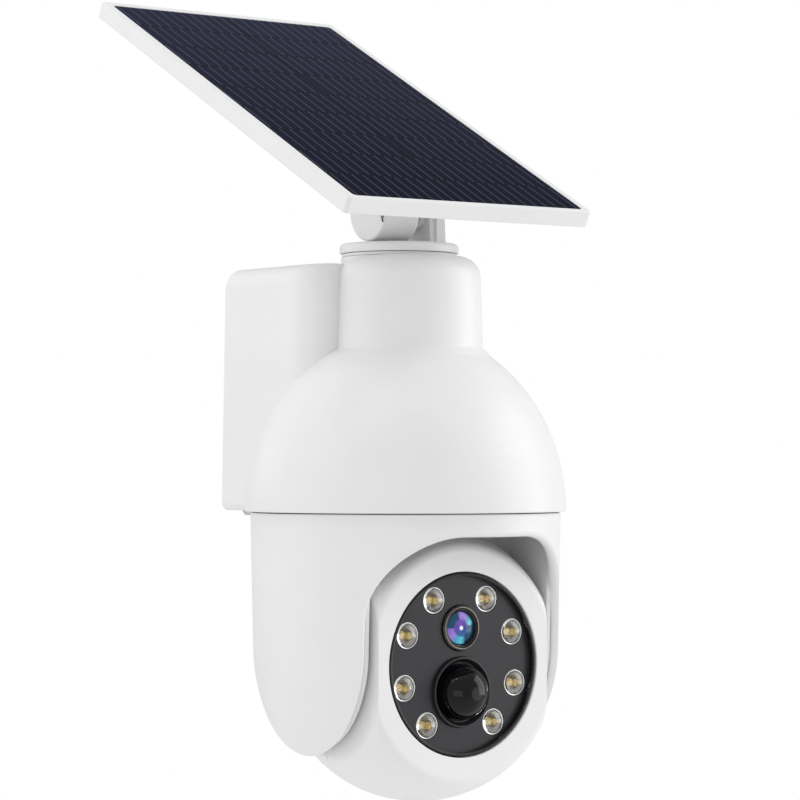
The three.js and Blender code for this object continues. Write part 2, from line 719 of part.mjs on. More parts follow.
function ledBoard() {
  const { front, back, radius } = LED_BOARD;
  const disc = turnedAboutY(discProfile(radius, front, back), MEDIUM);
  const chips = ledPlaces.map(([x, z]) =>
    block(x - 1.4, x + 1.4, front - 0.7, front + 0.3, z - 1.4, z + 1.4),
  );
  const hole = (r, z) => turnedAboutY(discProfile(r, -6.5, 13.5), 20).translate(0, 0, z);
  return cut(join(disc, ...chips), hole(LENS_RADIUS + GAP, LENS_HEIGHT), hole(5.4, PIR_HEIGHT));
}

add(faceGroup, "led_board", ledBoard(), finish(0xe9e9e6, 0.4));

const LENS_FRONT = 1.7;
add(
  faceGroup,
  "lens_barrel",
  turnedAboutY(
    [[0, 17.3], [LENS_RADIUS, 17.3], [LENS_RADIUS, LENS_FRONT], [6.5, LENS_FRONT], [6.5, 3.7], [0, 3.7]],
    24,
  ).translate(0, 0, LENS_HEIGHT),
  BLACK_PLASTIC,
);
add(
  faceGroup,
  "lens_glass",
  turnedAboutY([[0, 2.1], [3, 2.4], [6.2, 3.1], [6.2, 3.5], [0, 3.5]], 24).translate(0, 0, LENS_HEIGHT),
  LENS_BLUE,
);
add(
  faceGroup,
  "lens_ring",
  turnedAboutY(
    [[LENS_RADIUS + 0.1, 4.3], [8.2, 4.3], [8.2, 1.7], [7.6, 1.3], [LENS_RADIUS + 0.1, 1.5]],
    24,
  ).translate(0, 0, LENS_HEIGHT),
  BLACK_PLASTIC,
);

function sensorBoard() {
  const board = block(-12, 12, 20, 21.5, LENS_HEIGHT - 12, LENS_HEIGHT + 12);
  const holder = block(-8.5, 8.5, 11.5, 20.3, LENS_HEIGHT - 8.5, LENS_HEIGHT + 8.5);
  const bore = turnedAboutY(discProfile(LENS_RADIUS + 0.2, 3.5, 17.5), 24).translate(0, 0, LENS_HEIGHT);
  return cut(join(board, holder), bore);
}

add(faceGroup, "sensor_board", sensorBoard(), BOARD);

const PIR_CENTRE = 2.2;
add(
  faceGroup,
  "pir_bezel",
  turnedAboutY(
    [[PIR_RADIUS + 0.4, 4.4], [PIR_RECESS, 4.4], [PIR_RECESS, 1.1], [PIR_RECESS - 0.4, 0.8],
      [PIR_RADIUS + 0.4, 2.6]],
    MEDIUM,
  ).translate(0, 0, PIR_HEIGHT),
  STEEL,
);

function pirLens() {
  const dome = ellipseArc(PIR_RADIUS, PIR_RADIUS, 0, PIR_RADIUS, 6).map(([r, y]) => [
    y > PIR_RADIUS - 0.01 ? 0 : r,
    PIR_CENTRE - y,
  ]);
  return turnedAboutY([[0, 4.9], [PIR_RADIUS, 4.9], ...dome], 24).translate(0, 0, PIR_HEIGHT);
}

add(faceGroup, "pir_lens", pirLens(), BLACK_PLASTIC);
add(
  faceGroup,
  "pir_sensor",
  turnedAboutY([[0, 5.2], [4.2, 5.2], [4.2, 8.5], [4.8, 8.5], [4.8, 9.5], [0, 9.5]], COARSE).translate(
    0,
    0,
    PIR_HEIGHT,
  ),
  STEEL,
);

function tiltMotor() {
  const can = turnedAboutX(discProfile(12, -34.9, -17), 24);
  const nose = turnedAboutX(discProfile(4.6, -37.4, -34), COARSE);
  const plug = block(-30, -22, 11, 15.5, -5, 5);
  const shaftHole = turnedAboutX(discProfile(SHAFT_HOLE, -40, -27.5), COARSE);
  return cut(join(can, nose, plug), shaftHole);
}

add(head, "tilt_motor", tiltMotor(), STEEL);
add(
  head,
  "right_pivot",
  turnedAboutX(
    [[PIVOT.bore, 33], [PIVOT.flange, 33], [PIVOT.flange, 35.2], [PIVOT.radius, 35.2], [PIVOT.radius, 43.6],
      [PIVOT.bore, 43.6]],
    24,
  ),
  NYLON,
);

// ---- panel swivel -------------------------------------------------------------------------------

function swivelDisc() {
  const turnedPart = turned(
    [[4, 88], [6.9, 88], [6.9, SWIVEL_LOW], [SWIVEL_RADIUS, SWIVEL_LOW], [SWIVEL_RADIUS, SWIVEL_HIGH - 1.2],
      [SWIVEL_RADIUS - 1.2, SWIVEL_HIGH], [4, SWIVEL_HIGH]],
    FINE,
  );
  const width = EAR.right - EAR.left;
  const stem = block(EAR.left, EAR.left + width, -EAR.radius, EAR.radius, SWIVEL_HIGH - 1, PANEL_AXIS_Z);
  const onAxis = (profile) => turnedAboutX(profile, 24).translate(0, 0, PANEL_AXIS_Z);
  const eye = onAxis(discProfile(EAR.radius, EAR.left, EAR.right));
  const boss = onAxis(discProfile(EAR.bossRadius, EAR.bossLeft, EAR.left + 1));
  const bore = onAxis(discProfile(BOLT_RADIUS + 0.3, 0, 20));
  return cut(join(turnedPart, stem, eye, boss), bore).translate(0, SWIVEL_Y, 0);
}

add(housing, "swivel_disc", swivelDisc(), WHITE);
add(
  housing,
  "swivel_nut",
  cut(
    turned(discProfile(11, 88.2, NECK_TOP - WALL - 0.3), 6),
    turned(discProfile(7.2, 80, 95), COARSE),
  ).translate(0, SWIVEL_Y, 0),
  NYLON,
);

// The clamp screw: a low head with a cross recess and a shank that ends in the brass insert.
function clampScrew() {
  const start = EAR.right + 0.2;
  const end = start + CLAMP_HEAD.thickness;
  const head = turnedAboutX(
    [[0, start], [CLAMP_HEAD.radius, start], [CLAMP_HEAD.radius, end - 0.7], [CLAMP_HEAD.radius - 0.9, end],
      [0, end]],
    24,
  );
  const shank = turnedAboutX(discProfile(BOLT_RADIUS, -6.4, start + 0.5), 12);
  const upright = block(end - 1, end + 1, -0.7, 0.7, -3.2, 3.2);
  const level = block(end - 1, end + 1, -3.2, 3.2, -0.7, 0.7);
  return cut(join(head, shank), upright, level).translate(0, SWIVEL_Y, PANEL_AXIS_Z);
}

add(housing, "clamp_screw", clampScrew(), STEEL);

// ---- solar panel --------------------------------------------------------------------------------

const PANEL_BACK = PANEL.front + PANEL.length;
const PANEL_UNDERSIDE = PANEL.top - PANEL.thickness;

function rectangle(x0, x1, y0, y1, radius) {
  return roundedOutline([[x0, y0, radius], [x1, y0, radius], [x1, y1, radius], [x0, y1, radius]], 4);
}

function panelFrame() {
  const half = PANEL.width / 2;
  const tray = slab(rectangle(-half, half, PANEL.front, PANEL_BACK, PANEL.corner), PANEL.thickness);
  tray.translate(0, 0, PANEL_UNDERSIDE);
  const recess = slab(
    rectangle(
      -half + LAMINATE.side, half - LAMINATE.side,
      PANEL.front + LAMINATE.front, PANEL_BACK - LAMINATE.back, 2,
    ),
    5,
  );
  return cut(tray, recess.translate(0, 0, PANEL.top - LAMINATE.recess));
}

add(panel, "panel_frame", panelFrame(), WHITE);

function solarLaminate() {
  const half = PANEL.width / 2 - LAMINATE.side - 0.2;
  const sheet = rectangle(
    -half, half,
    PANEL.front + LAMINATE.front + 0.2, PANEL_BACK - LAMINATE.back - 0.2, 1.8,
  );
  return slab(sheet, LAMINATE.thickness - 0.2).translate(0, 0, PANEL.top - LAMINATE.recess + 0.2);
}

add(panel, "solar_laminate", solarLaminate(), SOLAR);

function panelBracket() {
  const underside = PANEL_UNDERSIDE - 0.2;
  const plate = slab(rectangle(-22, 22, -18, 18, 4), 2.9).translate(0, 0, underside - 2.9);
  const knuckle = turnedAboutX(discProfile(KNUCKLE.radius, KNUCKLE.left, KNUCKLE.right), MEDIUM);
  const web = block(KNUCKLE.left, KNUCKLE.right, -KNUCKLE.radius, KNUCKLE.radius, 0, underside - 1);
  const bore = turnedAboutX(discProfile(4.3, -7.2, 5), COARSE);
  return cut(join(plate, knuckle, web), bore);
}

add(panel, "panel_bracket", panelBracket(), WHITE);
add(panel, "clamp_insert", turnedAboutX(ringProfile(BOLT_RADIUS + 0.25, 4, -6.8, 1.2), COARSE), BRASS);

export default camera;
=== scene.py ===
"""Solar-powered pan-and-tilt security camera: its fine mouldings, optics, solar panel and finishes.

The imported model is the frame. Shapes are drawn in millimetres in three local frames: the housing's, on
the pan axis in the plane of the dome's rim, the head's, on the tilt axis, and the panel's, on its
hinge. Each surface is turned, lofted or gridded as whole arrays and then put into place.
"""
import json
import math
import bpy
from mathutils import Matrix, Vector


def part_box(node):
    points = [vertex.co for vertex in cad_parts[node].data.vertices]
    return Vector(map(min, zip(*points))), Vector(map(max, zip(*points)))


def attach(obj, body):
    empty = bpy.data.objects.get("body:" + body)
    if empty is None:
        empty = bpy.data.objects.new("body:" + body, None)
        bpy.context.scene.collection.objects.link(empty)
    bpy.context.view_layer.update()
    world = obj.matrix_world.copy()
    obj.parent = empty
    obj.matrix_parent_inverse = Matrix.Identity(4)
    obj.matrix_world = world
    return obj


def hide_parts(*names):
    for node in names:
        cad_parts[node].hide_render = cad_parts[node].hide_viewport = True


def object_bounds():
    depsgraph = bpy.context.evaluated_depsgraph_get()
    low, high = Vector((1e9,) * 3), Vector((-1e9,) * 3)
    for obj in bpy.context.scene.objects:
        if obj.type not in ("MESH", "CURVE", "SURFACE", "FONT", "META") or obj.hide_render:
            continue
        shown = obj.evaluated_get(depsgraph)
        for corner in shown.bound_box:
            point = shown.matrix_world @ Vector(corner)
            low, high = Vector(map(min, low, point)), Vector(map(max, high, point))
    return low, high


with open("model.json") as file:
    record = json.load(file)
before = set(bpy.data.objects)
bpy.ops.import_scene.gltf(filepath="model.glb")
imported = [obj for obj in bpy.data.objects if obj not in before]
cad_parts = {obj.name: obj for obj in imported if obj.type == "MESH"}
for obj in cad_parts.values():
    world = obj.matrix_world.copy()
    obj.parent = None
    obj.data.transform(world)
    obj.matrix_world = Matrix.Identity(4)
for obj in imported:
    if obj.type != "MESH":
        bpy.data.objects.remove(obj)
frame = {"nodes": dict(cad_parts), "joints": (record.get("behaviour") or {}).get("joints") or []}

from types import SimpleNamespace

import bmesh
import bpy
import numpy as np
from bpy.props import FloatProperty, FloatVectorProperty, IntProperty, PointerProperty
from bpy.types import Operator, Panel, PropertyGroup
from mathutils import Vector

bl_info = {
    "name": "Solar Security Camera",
    "version": (1, 0, 0),
    "blender": (4, 5, 0),
    "location": "View3D > Sidebar > Solar Camera",
    "description": "Builds the fine surfaces and finishes of a solar-powered pan-and-tilt camera",
    "category": "Add Mesh",
}

CAD_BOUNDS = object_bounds()
MM = 0.001
JOINT_POINTS = {j["name"]: np.array(j["pos_m"]) / MM for j in frame["joints"] if "pos_m" in j}
RIM = JOINT_POINTS["head_pan"]
TILT_AXIS = JOINT_POINTS["head_tilt"]
PANEL_HINGE = JOINT_POINTS["panel_tilt"]
SWIVEL_Y = (PANEL_HINGE - RIM)[1]
HINGE_Z = (PANEL_HINGE - RIM)[2]


def span(node, axis, origin=RIM):
    """Lowest and highest place of a node along one axis, in millimetres from origin."""
    low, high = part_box(node)
    return low[axis] / MM - origin[axis], high[axis] / MM - origin[axis]


DOME_RADIUS = span("main_housing", 0)[1]
NECK_TOP = span("main_housing", 2)[1]
BOX_BACK = span("main_housing", 1)[1]
WALL_FACE = span("wall_plate", 1)[1]
YOKE_RADIUS = span("yoke_shell", 0)[1]
YOKE_TOP = span("yoke_shell", 2)[1]
COVER_INNER, COVER_OUTER = span("right_lobe_cover", 0)[0], span("right_lobe_cover", 0)[0] + 2
SWIVEL_LOW = span("swivel_seal", 2)[1] + 0.2
CLAMP_END = span("clamp_screw", 0)[1]


# ---- settings -------------------------------------------------------------------------------------

def length(name, millimetres, description):
    return FloatProperty(
        name=name, description=description, default=millimetres * MM,
        unit="LENGTH", subtype="DISTANCE", precision=5,
    )


def angle(name, degrees, description):
    return FloatProperty(
        name=name, description=description, default=math.radians(degrees),
        unit="ROTATION", subtype="ANGLE",
    )


def colour(name, rgb, description):
    return FloatVectorProperty(
        name=name, description=description, default=rgb, size=3, min=0, max=1, subtype="COLOR",
    )


def factor(name, value, description):
    return FloatProperty(name=name, description=description, default=value, min=0, max=1, subtype="FACTOR")


class HousingSizes(PropertyGroup):
    """The fixed housing: dome, neck and rear box."""
    wall: length("Wall", 2.5, "Thickness of the moulded wall")
    dome_height: length("Dome height", 67, "Height of the dome's half ellipse above the rim")
    neck_forward: length("Neck forward", 2.5, "How far the neck stands in front of the pan axis")
    neck_radius: length("Neck radius", 27.1, "Radius where the neck leaves the dome")
    neck_top_radius: length("Neck top radius", 25.9, "Radius below the neck's rounded shoulder")
    shoulder: length("Shoulder", 8, "Rounding of the neck's shoulder")
    neck_fillet: length("Neck fillet", 2.2, "Hollow rounding between the dome and the neck")
    box_half_width: length("Box half width", 40, "Half the rear box's width at its foot")
    box_top_half_width: length("Box top half width", 38.2, "Half the rear box's width at its top")
    box_top: length("Box top", 90.8, "Height of the rear box above the rim")
    box_front: length("Box front", 8, "How far behind the pan axis the rear box starts")
    box_edge: length("Box edge", 11, "Rounding of the box's upright front edges")
    box_corner: length("Box corner", 8, "Rounding of the box's top corners")


class YokeSizes(PropertyGroup):
    """The turning yoke with its two lobes."""
    skirt_radius: length("Skirt radius", 56, "Radius where the straight skirt ends")
    skirt_depth: length("Skirt depth", 48.4, "Depth below the rim where the straight skirt ends")
    bowl: length("Bowl", 63.3, "Upright semi-axis of the rounded lower end")
    slot_half_width: length("Slot half width", 42.3, "Half the width of the slot that the head sits in")
    slot_top: length("Slot top", 8.5, "Depth of the slot's top below the rim")
    slot_corner: length("Slot corner", 29, "Rounding of the slot's top corners")
    lip: length("Lip", 1.8, "Width of the slot's rounded edge")
    flange: length("Flange", 1.5, "How far the slot's edge is turned inwards")


class HeadSizes(PropertyGroup):
    """The ball head and what looks out of its face."""
    nod: angle("Nod", 0, "How far the head looks down at rest")
    ball_radius: length("Ball radius", 51, "Radius of the ball")
    ball_side: length("Ball side", 38, "Distance of the ball's side flats from its middle")
    ball_face: length("Ball face", 28, "Distance of the ball's front from the tilt axis")
    ball_split: length("Ball split", 4, "Place of the seam between the ball's shells")
    face_radius: length("Face radius", 33, "Radius of the dark face plate")
    face_depth: length("Face depth", 2.4, "Depth of the dark face inside its rim")
    light_ring: length("Light ring", 26, "Radius of the circle that the lights lie on")
    light_radius: length("Light radius", 4.6, "Radius of one light's lens")
    lens_height: length("Lens height", 13, "Height of the camera lens above the head's middle")
    lens_radius: length("Lens radius", 7, "Radius of the lens barrel")
    sensor_drop: length("Sensor drop", 10, "Depth of the motion sensor below the head's middle")
    sensor_radius: length("Sensor radius", 10, "Radius of the motion sensor's dome")
    sensor_recess: length("Sensor recess", 12.6, "Radius of the recess round the motion sensor")


class PanelSizes(PropertyGroup):
    """The solar panel, its bracket and the swivel under it."""
    slope: angle("Slope", 27.8, "Slope of the panel at rest")
    width: length("Width", 110, "Width of the panel")
    length: length("Length", 189, "Length of the panel")
    front: length("Front", 40.2, "How far the panel's front edge lies before the hinge")
    top: length("Top", 21, "Height of the frame's top above the hinge")
    thickness: length("Thickness", 6.5, "Thickness of the frame")
    corner: length("Corner", 1.5, "Rounding of the frame's corners")
    swivel_radius: length("Swivel radius", 22, "Radius of the swivel disc")
    rows: IntProperty(name="Cell rows", description="Rows of cells along the panel", default=9, min=1)
    fingers: IntProperty(name="Fingers", description="Bright lines across the panel", default=22, min=1)


class Finishes(PropertyGroup):
    """Colours and gloss."""
    shell: colour("Shell", (0.86, 0.86, 0.862), "White moulded plastic")
    shell_roughness: factor("Shell roughness", 0.4, "Roughness of the white plastic")
    face: colour("Face", (0.020, 0.020, 0.024), "Dark face plate")
    cells_near: colour("Cells, front", (0.002, 0.003, 0.012), "Solar cells near the front edge")
    # Painted sheen: the back colour is lighter than the front one and stands in for the lights' reflection on
    # the glass.
    cells_far_painted_sheen: colour("Cells, back", (0.014, 0.016, 0.038), "Solar cells near the back edge")
    phosphor: colour("Phosphor", (0.86, 0.60, 0.12), "Yellow phosphor of the lights")


class Studio(PropertyGroup):
    """Camera, lights and floor."""
    azimuth: angle("Azimuth", -36.39, "Camera's turn round the object, from straight in front")
    elevation: angle("Elevation", -1.15, "Camera's height angle")
    distance: length("Distance", 1149.3, "Distance from the camera to its aim")
    aim_side: length("Aim, side", -1.65, "Sideways place of the aim from the pan axis")
    aim_back: length("Aim, back", 1.2, "Place of the aim behind the pan axis")
    aim_height: length("Aim, height", 40.9, "Height of the aim above the dome's rim")
    focal: FloatProperty(name="Focal length", description="In millimetres", default=140.5, min=1)
    floor_depth: length("Floor depth", 200, "Depth of the floor below the object")
    world: FloatProperty(name="Surroundings", description="Strength of the even light", default=0.66, min=0)


def measured(name):
    """A settings group of the scene, with its lengths in millimetres."""
    group = getattr(bpy.context.scene, name)
    values = {key: getattr(group, key) for key in group.__annotations__}
    for key, value in values.items():
        if group.bl_rna.properties[key].unit == "LENGTH":
            values[key] = value / MM
    return SimpleNamespace(**values)


# ---- surfaces -------------------------------------------------------------------------------------

def unit(vector):
    return vector / np.linalg.norm(vector)


def ease(t):
    """Rises smoothly from 0 to 1 as t goes from 0 to 1: t squared times (3 minus 2t)."""
    t = np.clip(t, 0, 1)
    return t * t * (3 - 2 * t)


def rounded(corners, closed=False, steps=6):
    """A line through corners (a, b, radius): each corner is replaced by the arc of its radius that
    touches both sides, an even turn of the radius vector from one touching point to the other."""
    places = np.array([corner[:2] for corner in corners], float)
    stretches = []
    for i, here in enumerate(places):
        radius = corners[i][2]
        if radius == 0 or (not closed and i in (0, len(places) - 1)):
            stretches.append(here[None])
            continue
        before = unit(places[i - 1] - here)
        after = unit(places[(i + 1) % len(places)] - here)
        half = math.acos(float(np.clip(before @ after, -1, 1))) / 2
        centre = here + unit(before + after) * radius / math.sin(half)
        reach = radius / math.tan(half)
        start, end = here + before * reach - centre, here + after * reach - centre
        sweep = math.pi - 2 * half
        t = np.linspace(0, 1, steps + 1)[:, None]
        turn = (np.sin((1 - t) * sweep) * start + np.sin(t * sweep) * end) / math.sin(sweep)
        stretches.append(centre + turn)
    return np.concatenate(stretches)


def box_outline(x0, x1, y0, y1, radius, steps=6):
    return rounded([(x0, y0, radius), (x1, y0, radius), (x1, y1, radius), (x0, y1, radius)], True, steps)


def round_outline(radius, count=48, centre=(0, 0)):
    turn = np.linspace(0, 2 * math.pi, count, endpoint=False)
    return np.stack([centre[0] + radius * np.cos(turn), centre[1] + radius * np.sin(turn)], -1)


def offset(outline, distance):
    """The outline moved outwards by distance along its normal, which is its direction turned by a
    quarter turn. The outline runs anticlockwise."""
    along = np.roll(outline, -1, 0) - np.roll(outline, 1, 0)
    normal = np.stack([along[:, 1], -along[:, 0]], -1)
    return outline + distance * normal / np.linalg.norm(normal, axis=1, keepdims=True)


def grid(points, looped=False, capped=False):
    """Four-sided faces between neighbouring rows and columns. Columns close on themselves, rows close
    where looped, and the first and last rows are filled where capped."""
    rows, columns = points.shape[:2]
    index = np.arange(rows * columns).reshape(rows, columns)
    first, last = index[0, ::-1].tolist(), index[-1].tolist()
    if looped:
        index = np.vstack([index, index[:1]])
    index = np.hstack([index, index[:, :1]])
    quads = np.stack([index[:-1, :-1], index[1:, :-1], index[1:, 1:], index[:-1, 1:]], -1)
    faces = quads.reshape(-1, 4).tolist() + ([first, last] if capped else [])
    return points.reshape(-1, 3), faces


AXES = {"z": (0, 1, 2), "y": (0, 2, 1), "x": (2, 0, 1)}


def spun(profile, axis="z", centre=(0, 0, 0), around=96, looped=False):
    """A profile of (radius, height) points turned about an axis: x and y are radius times cosine and
    sine of the turn, and height runs along the axis."""
    turn = np.linspace(0, 2 * math.pi, around, endpoint=False)
    profile = np.asarray(profile, float)
    radius, height = profile[:, :1], profile[:, 1:]
    parts = [radius * np.cos(turn), radius * np.sin(turn), height * np.ones_like(turn)]
    order = AXES[axis]
    return grid(np.stack([parts[i] for i in order], -1) + np.array(centre, float), looped)


def turned(corners, axis="z", centre=(0, 0, 0), around=96, closed=False, steps=6):
    """A profile of corners (radius, height, rounding) turned about an axis."""
    return spun(rounded(corners, closed, steps), axis, centre, around, looped=closed)


def rod(radius, low, high, axis="z", centre=(0, 0, 0), around=40):
    """A plain cylinder between two heights."""
    return spun([(0, low), (radius, low), (radius, high), (0, high)], axis, centre, around)


def pillow(outline, low, high, edge=0.5, axis="z", steps=4):
    """A flat slab over an outline with rounded edges: near each face the outline is drawn in by edge
    times (1 minus sine) while the height moves by edge times (1 minus cosine) of a quarter turn."""
    quarter = np.linspace(0, math.pi / 2, steps + 1)
    inset = edge * (1 - np.sin(quarter))
    rise = edge * (1 - np.cos(quarter))
    heights = np.concatenate([low + rise, (high - rise)[::-1]])
    insets = np.concatenate([inset, inset[::-1]])
    rows = [np.column_stack([offset(outline, -i), np.full(len(outline), h)]) for i, h in zip(insets, heights)]
    return grid(np.array(rows)[..., list(AXES[axis])], capped=True)


def block(x0, x1, y0, y1, z0, z1):
    """Eight corners and six faces."""
    around = ((x0, y0), (x1, y0), (x1, y1), (x0, y1))
    return grid(np.array([[(x, y, z) for x, y in around] for z in (z0, z1)], float), capped=True)


def moved(surface, shift):
    points, faces = surface
    return points + np.array(shift, float), faces


def tilted(points, turn):
    """Points turned about X: y and z are mixed by the cosine and sine of the turn."""
    cos, sin = math.cos(turn), math.sin(turn)
    x, y, z = points.T
    return np.stack([x, y * cos - z * sin, y * sin + z * cos], -1)


def in_housing(points):
    return (points + RIM) * MM


def in_head(points):
    return (tilted(points, bpy.context.scene.camera_head.nod) + TILT_AXIS) * MM


def in_face(points):
    """From the frame whose origin is the middle of the ball's flat front."""
    return in_head(points - [0, measured("camera_head").ball_face, 0])


def in_panel(points):
    return (tilted(points, bpy.context.scene.camera_panel.slope) + PANEL_HINGE) * MM


# ---- pieces ---------------------------------------------------------------------------------------

MERGE = 2e-7
SHARP = math.radians(38)


def rough_piece(name, surfaces, place):
    """One mesh object from surfaces, with equal points merged and faces pointing out."""
    points, faces, count = [], [], 0
    for surface_points, surface_faces in surfaces:
        faces += [[i + count for i in face] for face in surface_faces]
        points.append(surface_points)
        count += len(surface_points)
    mesh = bpy.data.meshes.new(name)
    mesh.from_pydata(place(np.concatenate(points)).tolist(), [], faces)
    edit = bmesh.new()
    edit.from_mesh(mesh)
    bmesh.ops.remove_doubles(edit, verts=edit.verts, dist=MERGE)
    bmesh.ops.recalc_face_normals(edit, faces=edit.faces)
    edit.to_mesh(mesh)
    edit.free()
    obj = bpy.data.objects.new(name, mesh)
    bpy.context.scene.collection.objects.link(obj)
    return obj


def settle(obj):
    """The object's mesh becomes what its modifiers make of it."""
    graph = bpy.context.evaluated_depsgraph_get()
    mesh = bpy.data.meshes.new_from_object(obj.evaluated_get(graph))
    obj.modifiers.clear()
    obj.data = mesh
    mesh.name = obj.name


def combine(obj, tool, operation):
    """Joins tool to obj or cuts it away, and removes tool."""
    modifier = obj.modifiers.new("combine", "BOOLEAN")
    modifier.operation = operation
    modifier.solver = "EXACT"
    modifier.object = tool
    settle(obj)
    bpy.data.objects.remove(tool)


def cut(obj, surfaces, place):
    combine(obj, rough_piece("part", surfaces, place), "DIFFERENCE")


def join(obj, surfaces, place):
    combine(obj, rough_piece("part", surfaces, place), "UNION")


def softened(obj, width, segments=3, turn=40):
    """Edges sharper than turn get a small rounding of that width in millimetres."""
    bevel = obj.modifiers.new("soften", "BEVEL")
    bevel.width = width * MM
    bevel.segments = segments
    bevel.limit_method = "ANGLE"
    bevel.angle_limit = math.radians(turn)
    bevel.harden_normals = False
    settle(obj)


def finished(obj, material, body, replaced=()):
    """Shading, finish, the body it rides on and the nodes that it stands for."""
    obj.data.materials.clear()
    obj.data.materials.append(material)
    obj.data.shade_smooth()
    obj.data.set_sharp_from_angle(angle=SHARP)
    weighted = obj.modifiers.new("even_normals", "WEIGHTED_NORMAL")
    weighted.keep_sharp = True
    settle(obj)
    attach(obj, body)
    if replaced:
        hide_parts(*replaced)
    return obj


def piece(name, surfaces, place, material, body, replaced=(), soften=0):
    obj = rough_piece(name, surfaces, place)
    if soften:
        softened(obj, soften)
    return finished(obj, material, body, replaced)


# ---- finishes -------------------------------------------------------------------------------------

class Shading:
    """A material under construction: nodes are added and linked by short calls."""

    def __init__(self, name):
        self.material = bpy.data.materials.new(name)
        self.material.use_nodes = True
        self.nodes = self.material.node_tree.nodes
        self.shader = self.nodes["Principled BSDF"]
        self.place = self.node("ShaderNodeTexCoord").outputs["Object"]

    def node(self, kind, inputs=None, **settings):
        made = self.nodes.new(kind)
        for key, value in settings.items():
            setattr(made, key, value)
        for key, value in (inputs or {}).items():
            if isinstance(value, bpy.types.NodeSocket):
                self.link(value, made.inputs[key])
            else:
                made.inputs[key].default_value = value
        return made

    def link(self, source, target):
        self.material.node_tree.links.new(source, target)

    def math(self, operation, first, second=0.0, third=0.0):
        inputs = {0: first, 1: second, 2: third}
        return self.node("ShaderNodeMath", inputs, operation=operation).outputs[0]

    def noise(self, scale, detail=3.0, roughness=0.5, place=None):
        inputs = {"Vector": place or self.place, "Scale": scale, "Detail": detail, "Roughness": roughness}
        return self.node("ShaderNodeTexNoise", inputs).outputs["Fac"]

    def ramp(self, value, *stops):
        """Colours or greys at places from 0 to 1."""
        made = self.node("ShaderNodeValToRGB", {"Fac": value})
        elements = made.color_ramp.elements
        while len(elements) < len(stops):
            elements.new(0.5)
        for element, (at, tint) in zip(elements, stops):
            element.position = at
            element.color = (*tint, 1) if hasattr(tint, "__len__") else (tint, tint, tint, 1)
        return made.outputs["Color"]

    def spread(self, value, low, high, from_low=0.0, from_high=1.0):
        """The value carried from one range to another."""
        inputs = {"Value": value, 1: from_low, 2: from_high, 3: low, 4: high}
        return self.node("ShaderNodeMapRange", inputs).outputs["Result"]

    def mix(self, share, first, second):
        made = self.node("ShaderNodeMix", data_type="RGBA")
        sockets = made.inputs["Factor"], made.inputs[6], made.inputs[7]
        for socket, value in zip(sockets, (share, first, second)):
            if isinstance(value, bpy.types.NodeSocket):
                self.link(value, socket)
            else:
                socket.default_value = (*value, 1) if hasattr(value, "__len__") else value
        return made.outputs[2]

    def from_axis(self, middle, axes):
        """The place measured from middle, and its distance there over two of its axes."""
        ends = {0: self.place, 1: middle}
        centred = self.node("ShaderNodeVectorMath", ends, operation="SUBTRACT").outputs[0]
        parts = self.node("ShaderNodeSeparateXYZ", {"Vector": centred}).outputs
        flat = self.node("ShaderNodeCombineXYZ", {axis: parts[axis] for axis in axes}).outputs[0]
        return parts, self.node("ShaderNodeVectorMath", {0: flat}, operation="LENGTH").outputs["Value"]

    def bump(self, height, strength, depth):
        inputs = {"Height": height, "Strength": strength, "Distance": depth * MM}
        self.link(self.node("ShaderNodeBump", inputs).outputs["Normal"], self.shader.inputs["Normal"])

    def set(self, **values):
        for key, value in values.items():
            socket = self.shader.inputs[key.replace("_", " ").title().replace("Ior", "IOR")]
            if isinstance(value, bpy.types.NodeSocket):
                self.link(value, socket)
            else:
                socket.default_value = value
        return self


def shade(tint, amount):
    return tuple(min(1.0, c * amount) for c in tint)


def moulded(name, tint, roughness, grain=900, grain_depth=0.012, sheen_of_dust=0.03, coat=0.0):
    """Moulded plastic: a faint cloudiness in the colour, an uneven gloss and a fine spark-eroded grain."""
    made = Shading(name)
    cloud = made.noise(38, 3)
    fine = made.noise(grain, 2, 0.6)
    smear = made.noise(120, 4, 0.6)
    darker = shade(tint, 1 - sheen_of_dust)
    made.set(
        base_color=made.ramp(cloud, (0.3, darker), (0.7, tint)),
        roughness=made.spread(smear, roughness - 0.05, roughness + 0.05, 0.3, 0.7),
        coat_weight=coat,
    )
    made.bump(fine, 0.35, grain_depth)
    return made.material


def metal(name, tint, roughness, stretch=(1, 1, 18)):
    """Drawn metal: fine streaks along one direction in colour, gloss and height."""
    made = Shading(name)
    scaled = made.node("ShaderNodeMapping", {"Vector": made.place, "Scale": stretch}).outputs["Vector"]
    streaks = made.noise(260, 4, 0.65, scaled)
    made.set(
        base_color=made.ramp(streaks, (0.25, shade(tint, 0.82)), (0.75, tint)),
        metallic=1.0,
        roughness=made.spread(streaks, roughness - 0.08, roughness + 0.1),
    )
    made.bump(streaks, 0.2, 0.01)
    return made.material


def board_finish(name, mask, copper):
    """A circuit board: solder mask with lighter tracks along a band of a cell pattern's distances."""
    made = Shading(name)
    cells = made.node(
        "ShaderNodeTexVoronoi", {"Vector": made.place, "Scale": 420.0}, distance="MANHATTAN",
    ).outputs["Distance"]
    tracks = made.ramp(cells, (0.18, 0.0), (0.26, 1.0), (0.34, 0.0))
    tint = made.mix(tracks, mask, copper)
    made.set(base_color=tint, roughness=made.spread(made.noise(300), 0.3, 0.5))
    made.bump(tracks, 0.4, 0.03)
    return made.material


def rubber(name, tint):
    """Dull rubber: mottled and with a soft even grain."""
    made = Shading(name)
    grain = made.noise(1500, 3, 0.7)
    made.set(
        base_color=made.ramp(made.noise(90), (0.3, shade(tint, 0.8)), (0.7, tint)),
        roughness=made.spread(grain, 0.7, 0.9),
    )
    made.bump(grain, 0.5, 0.03)
    return made.material


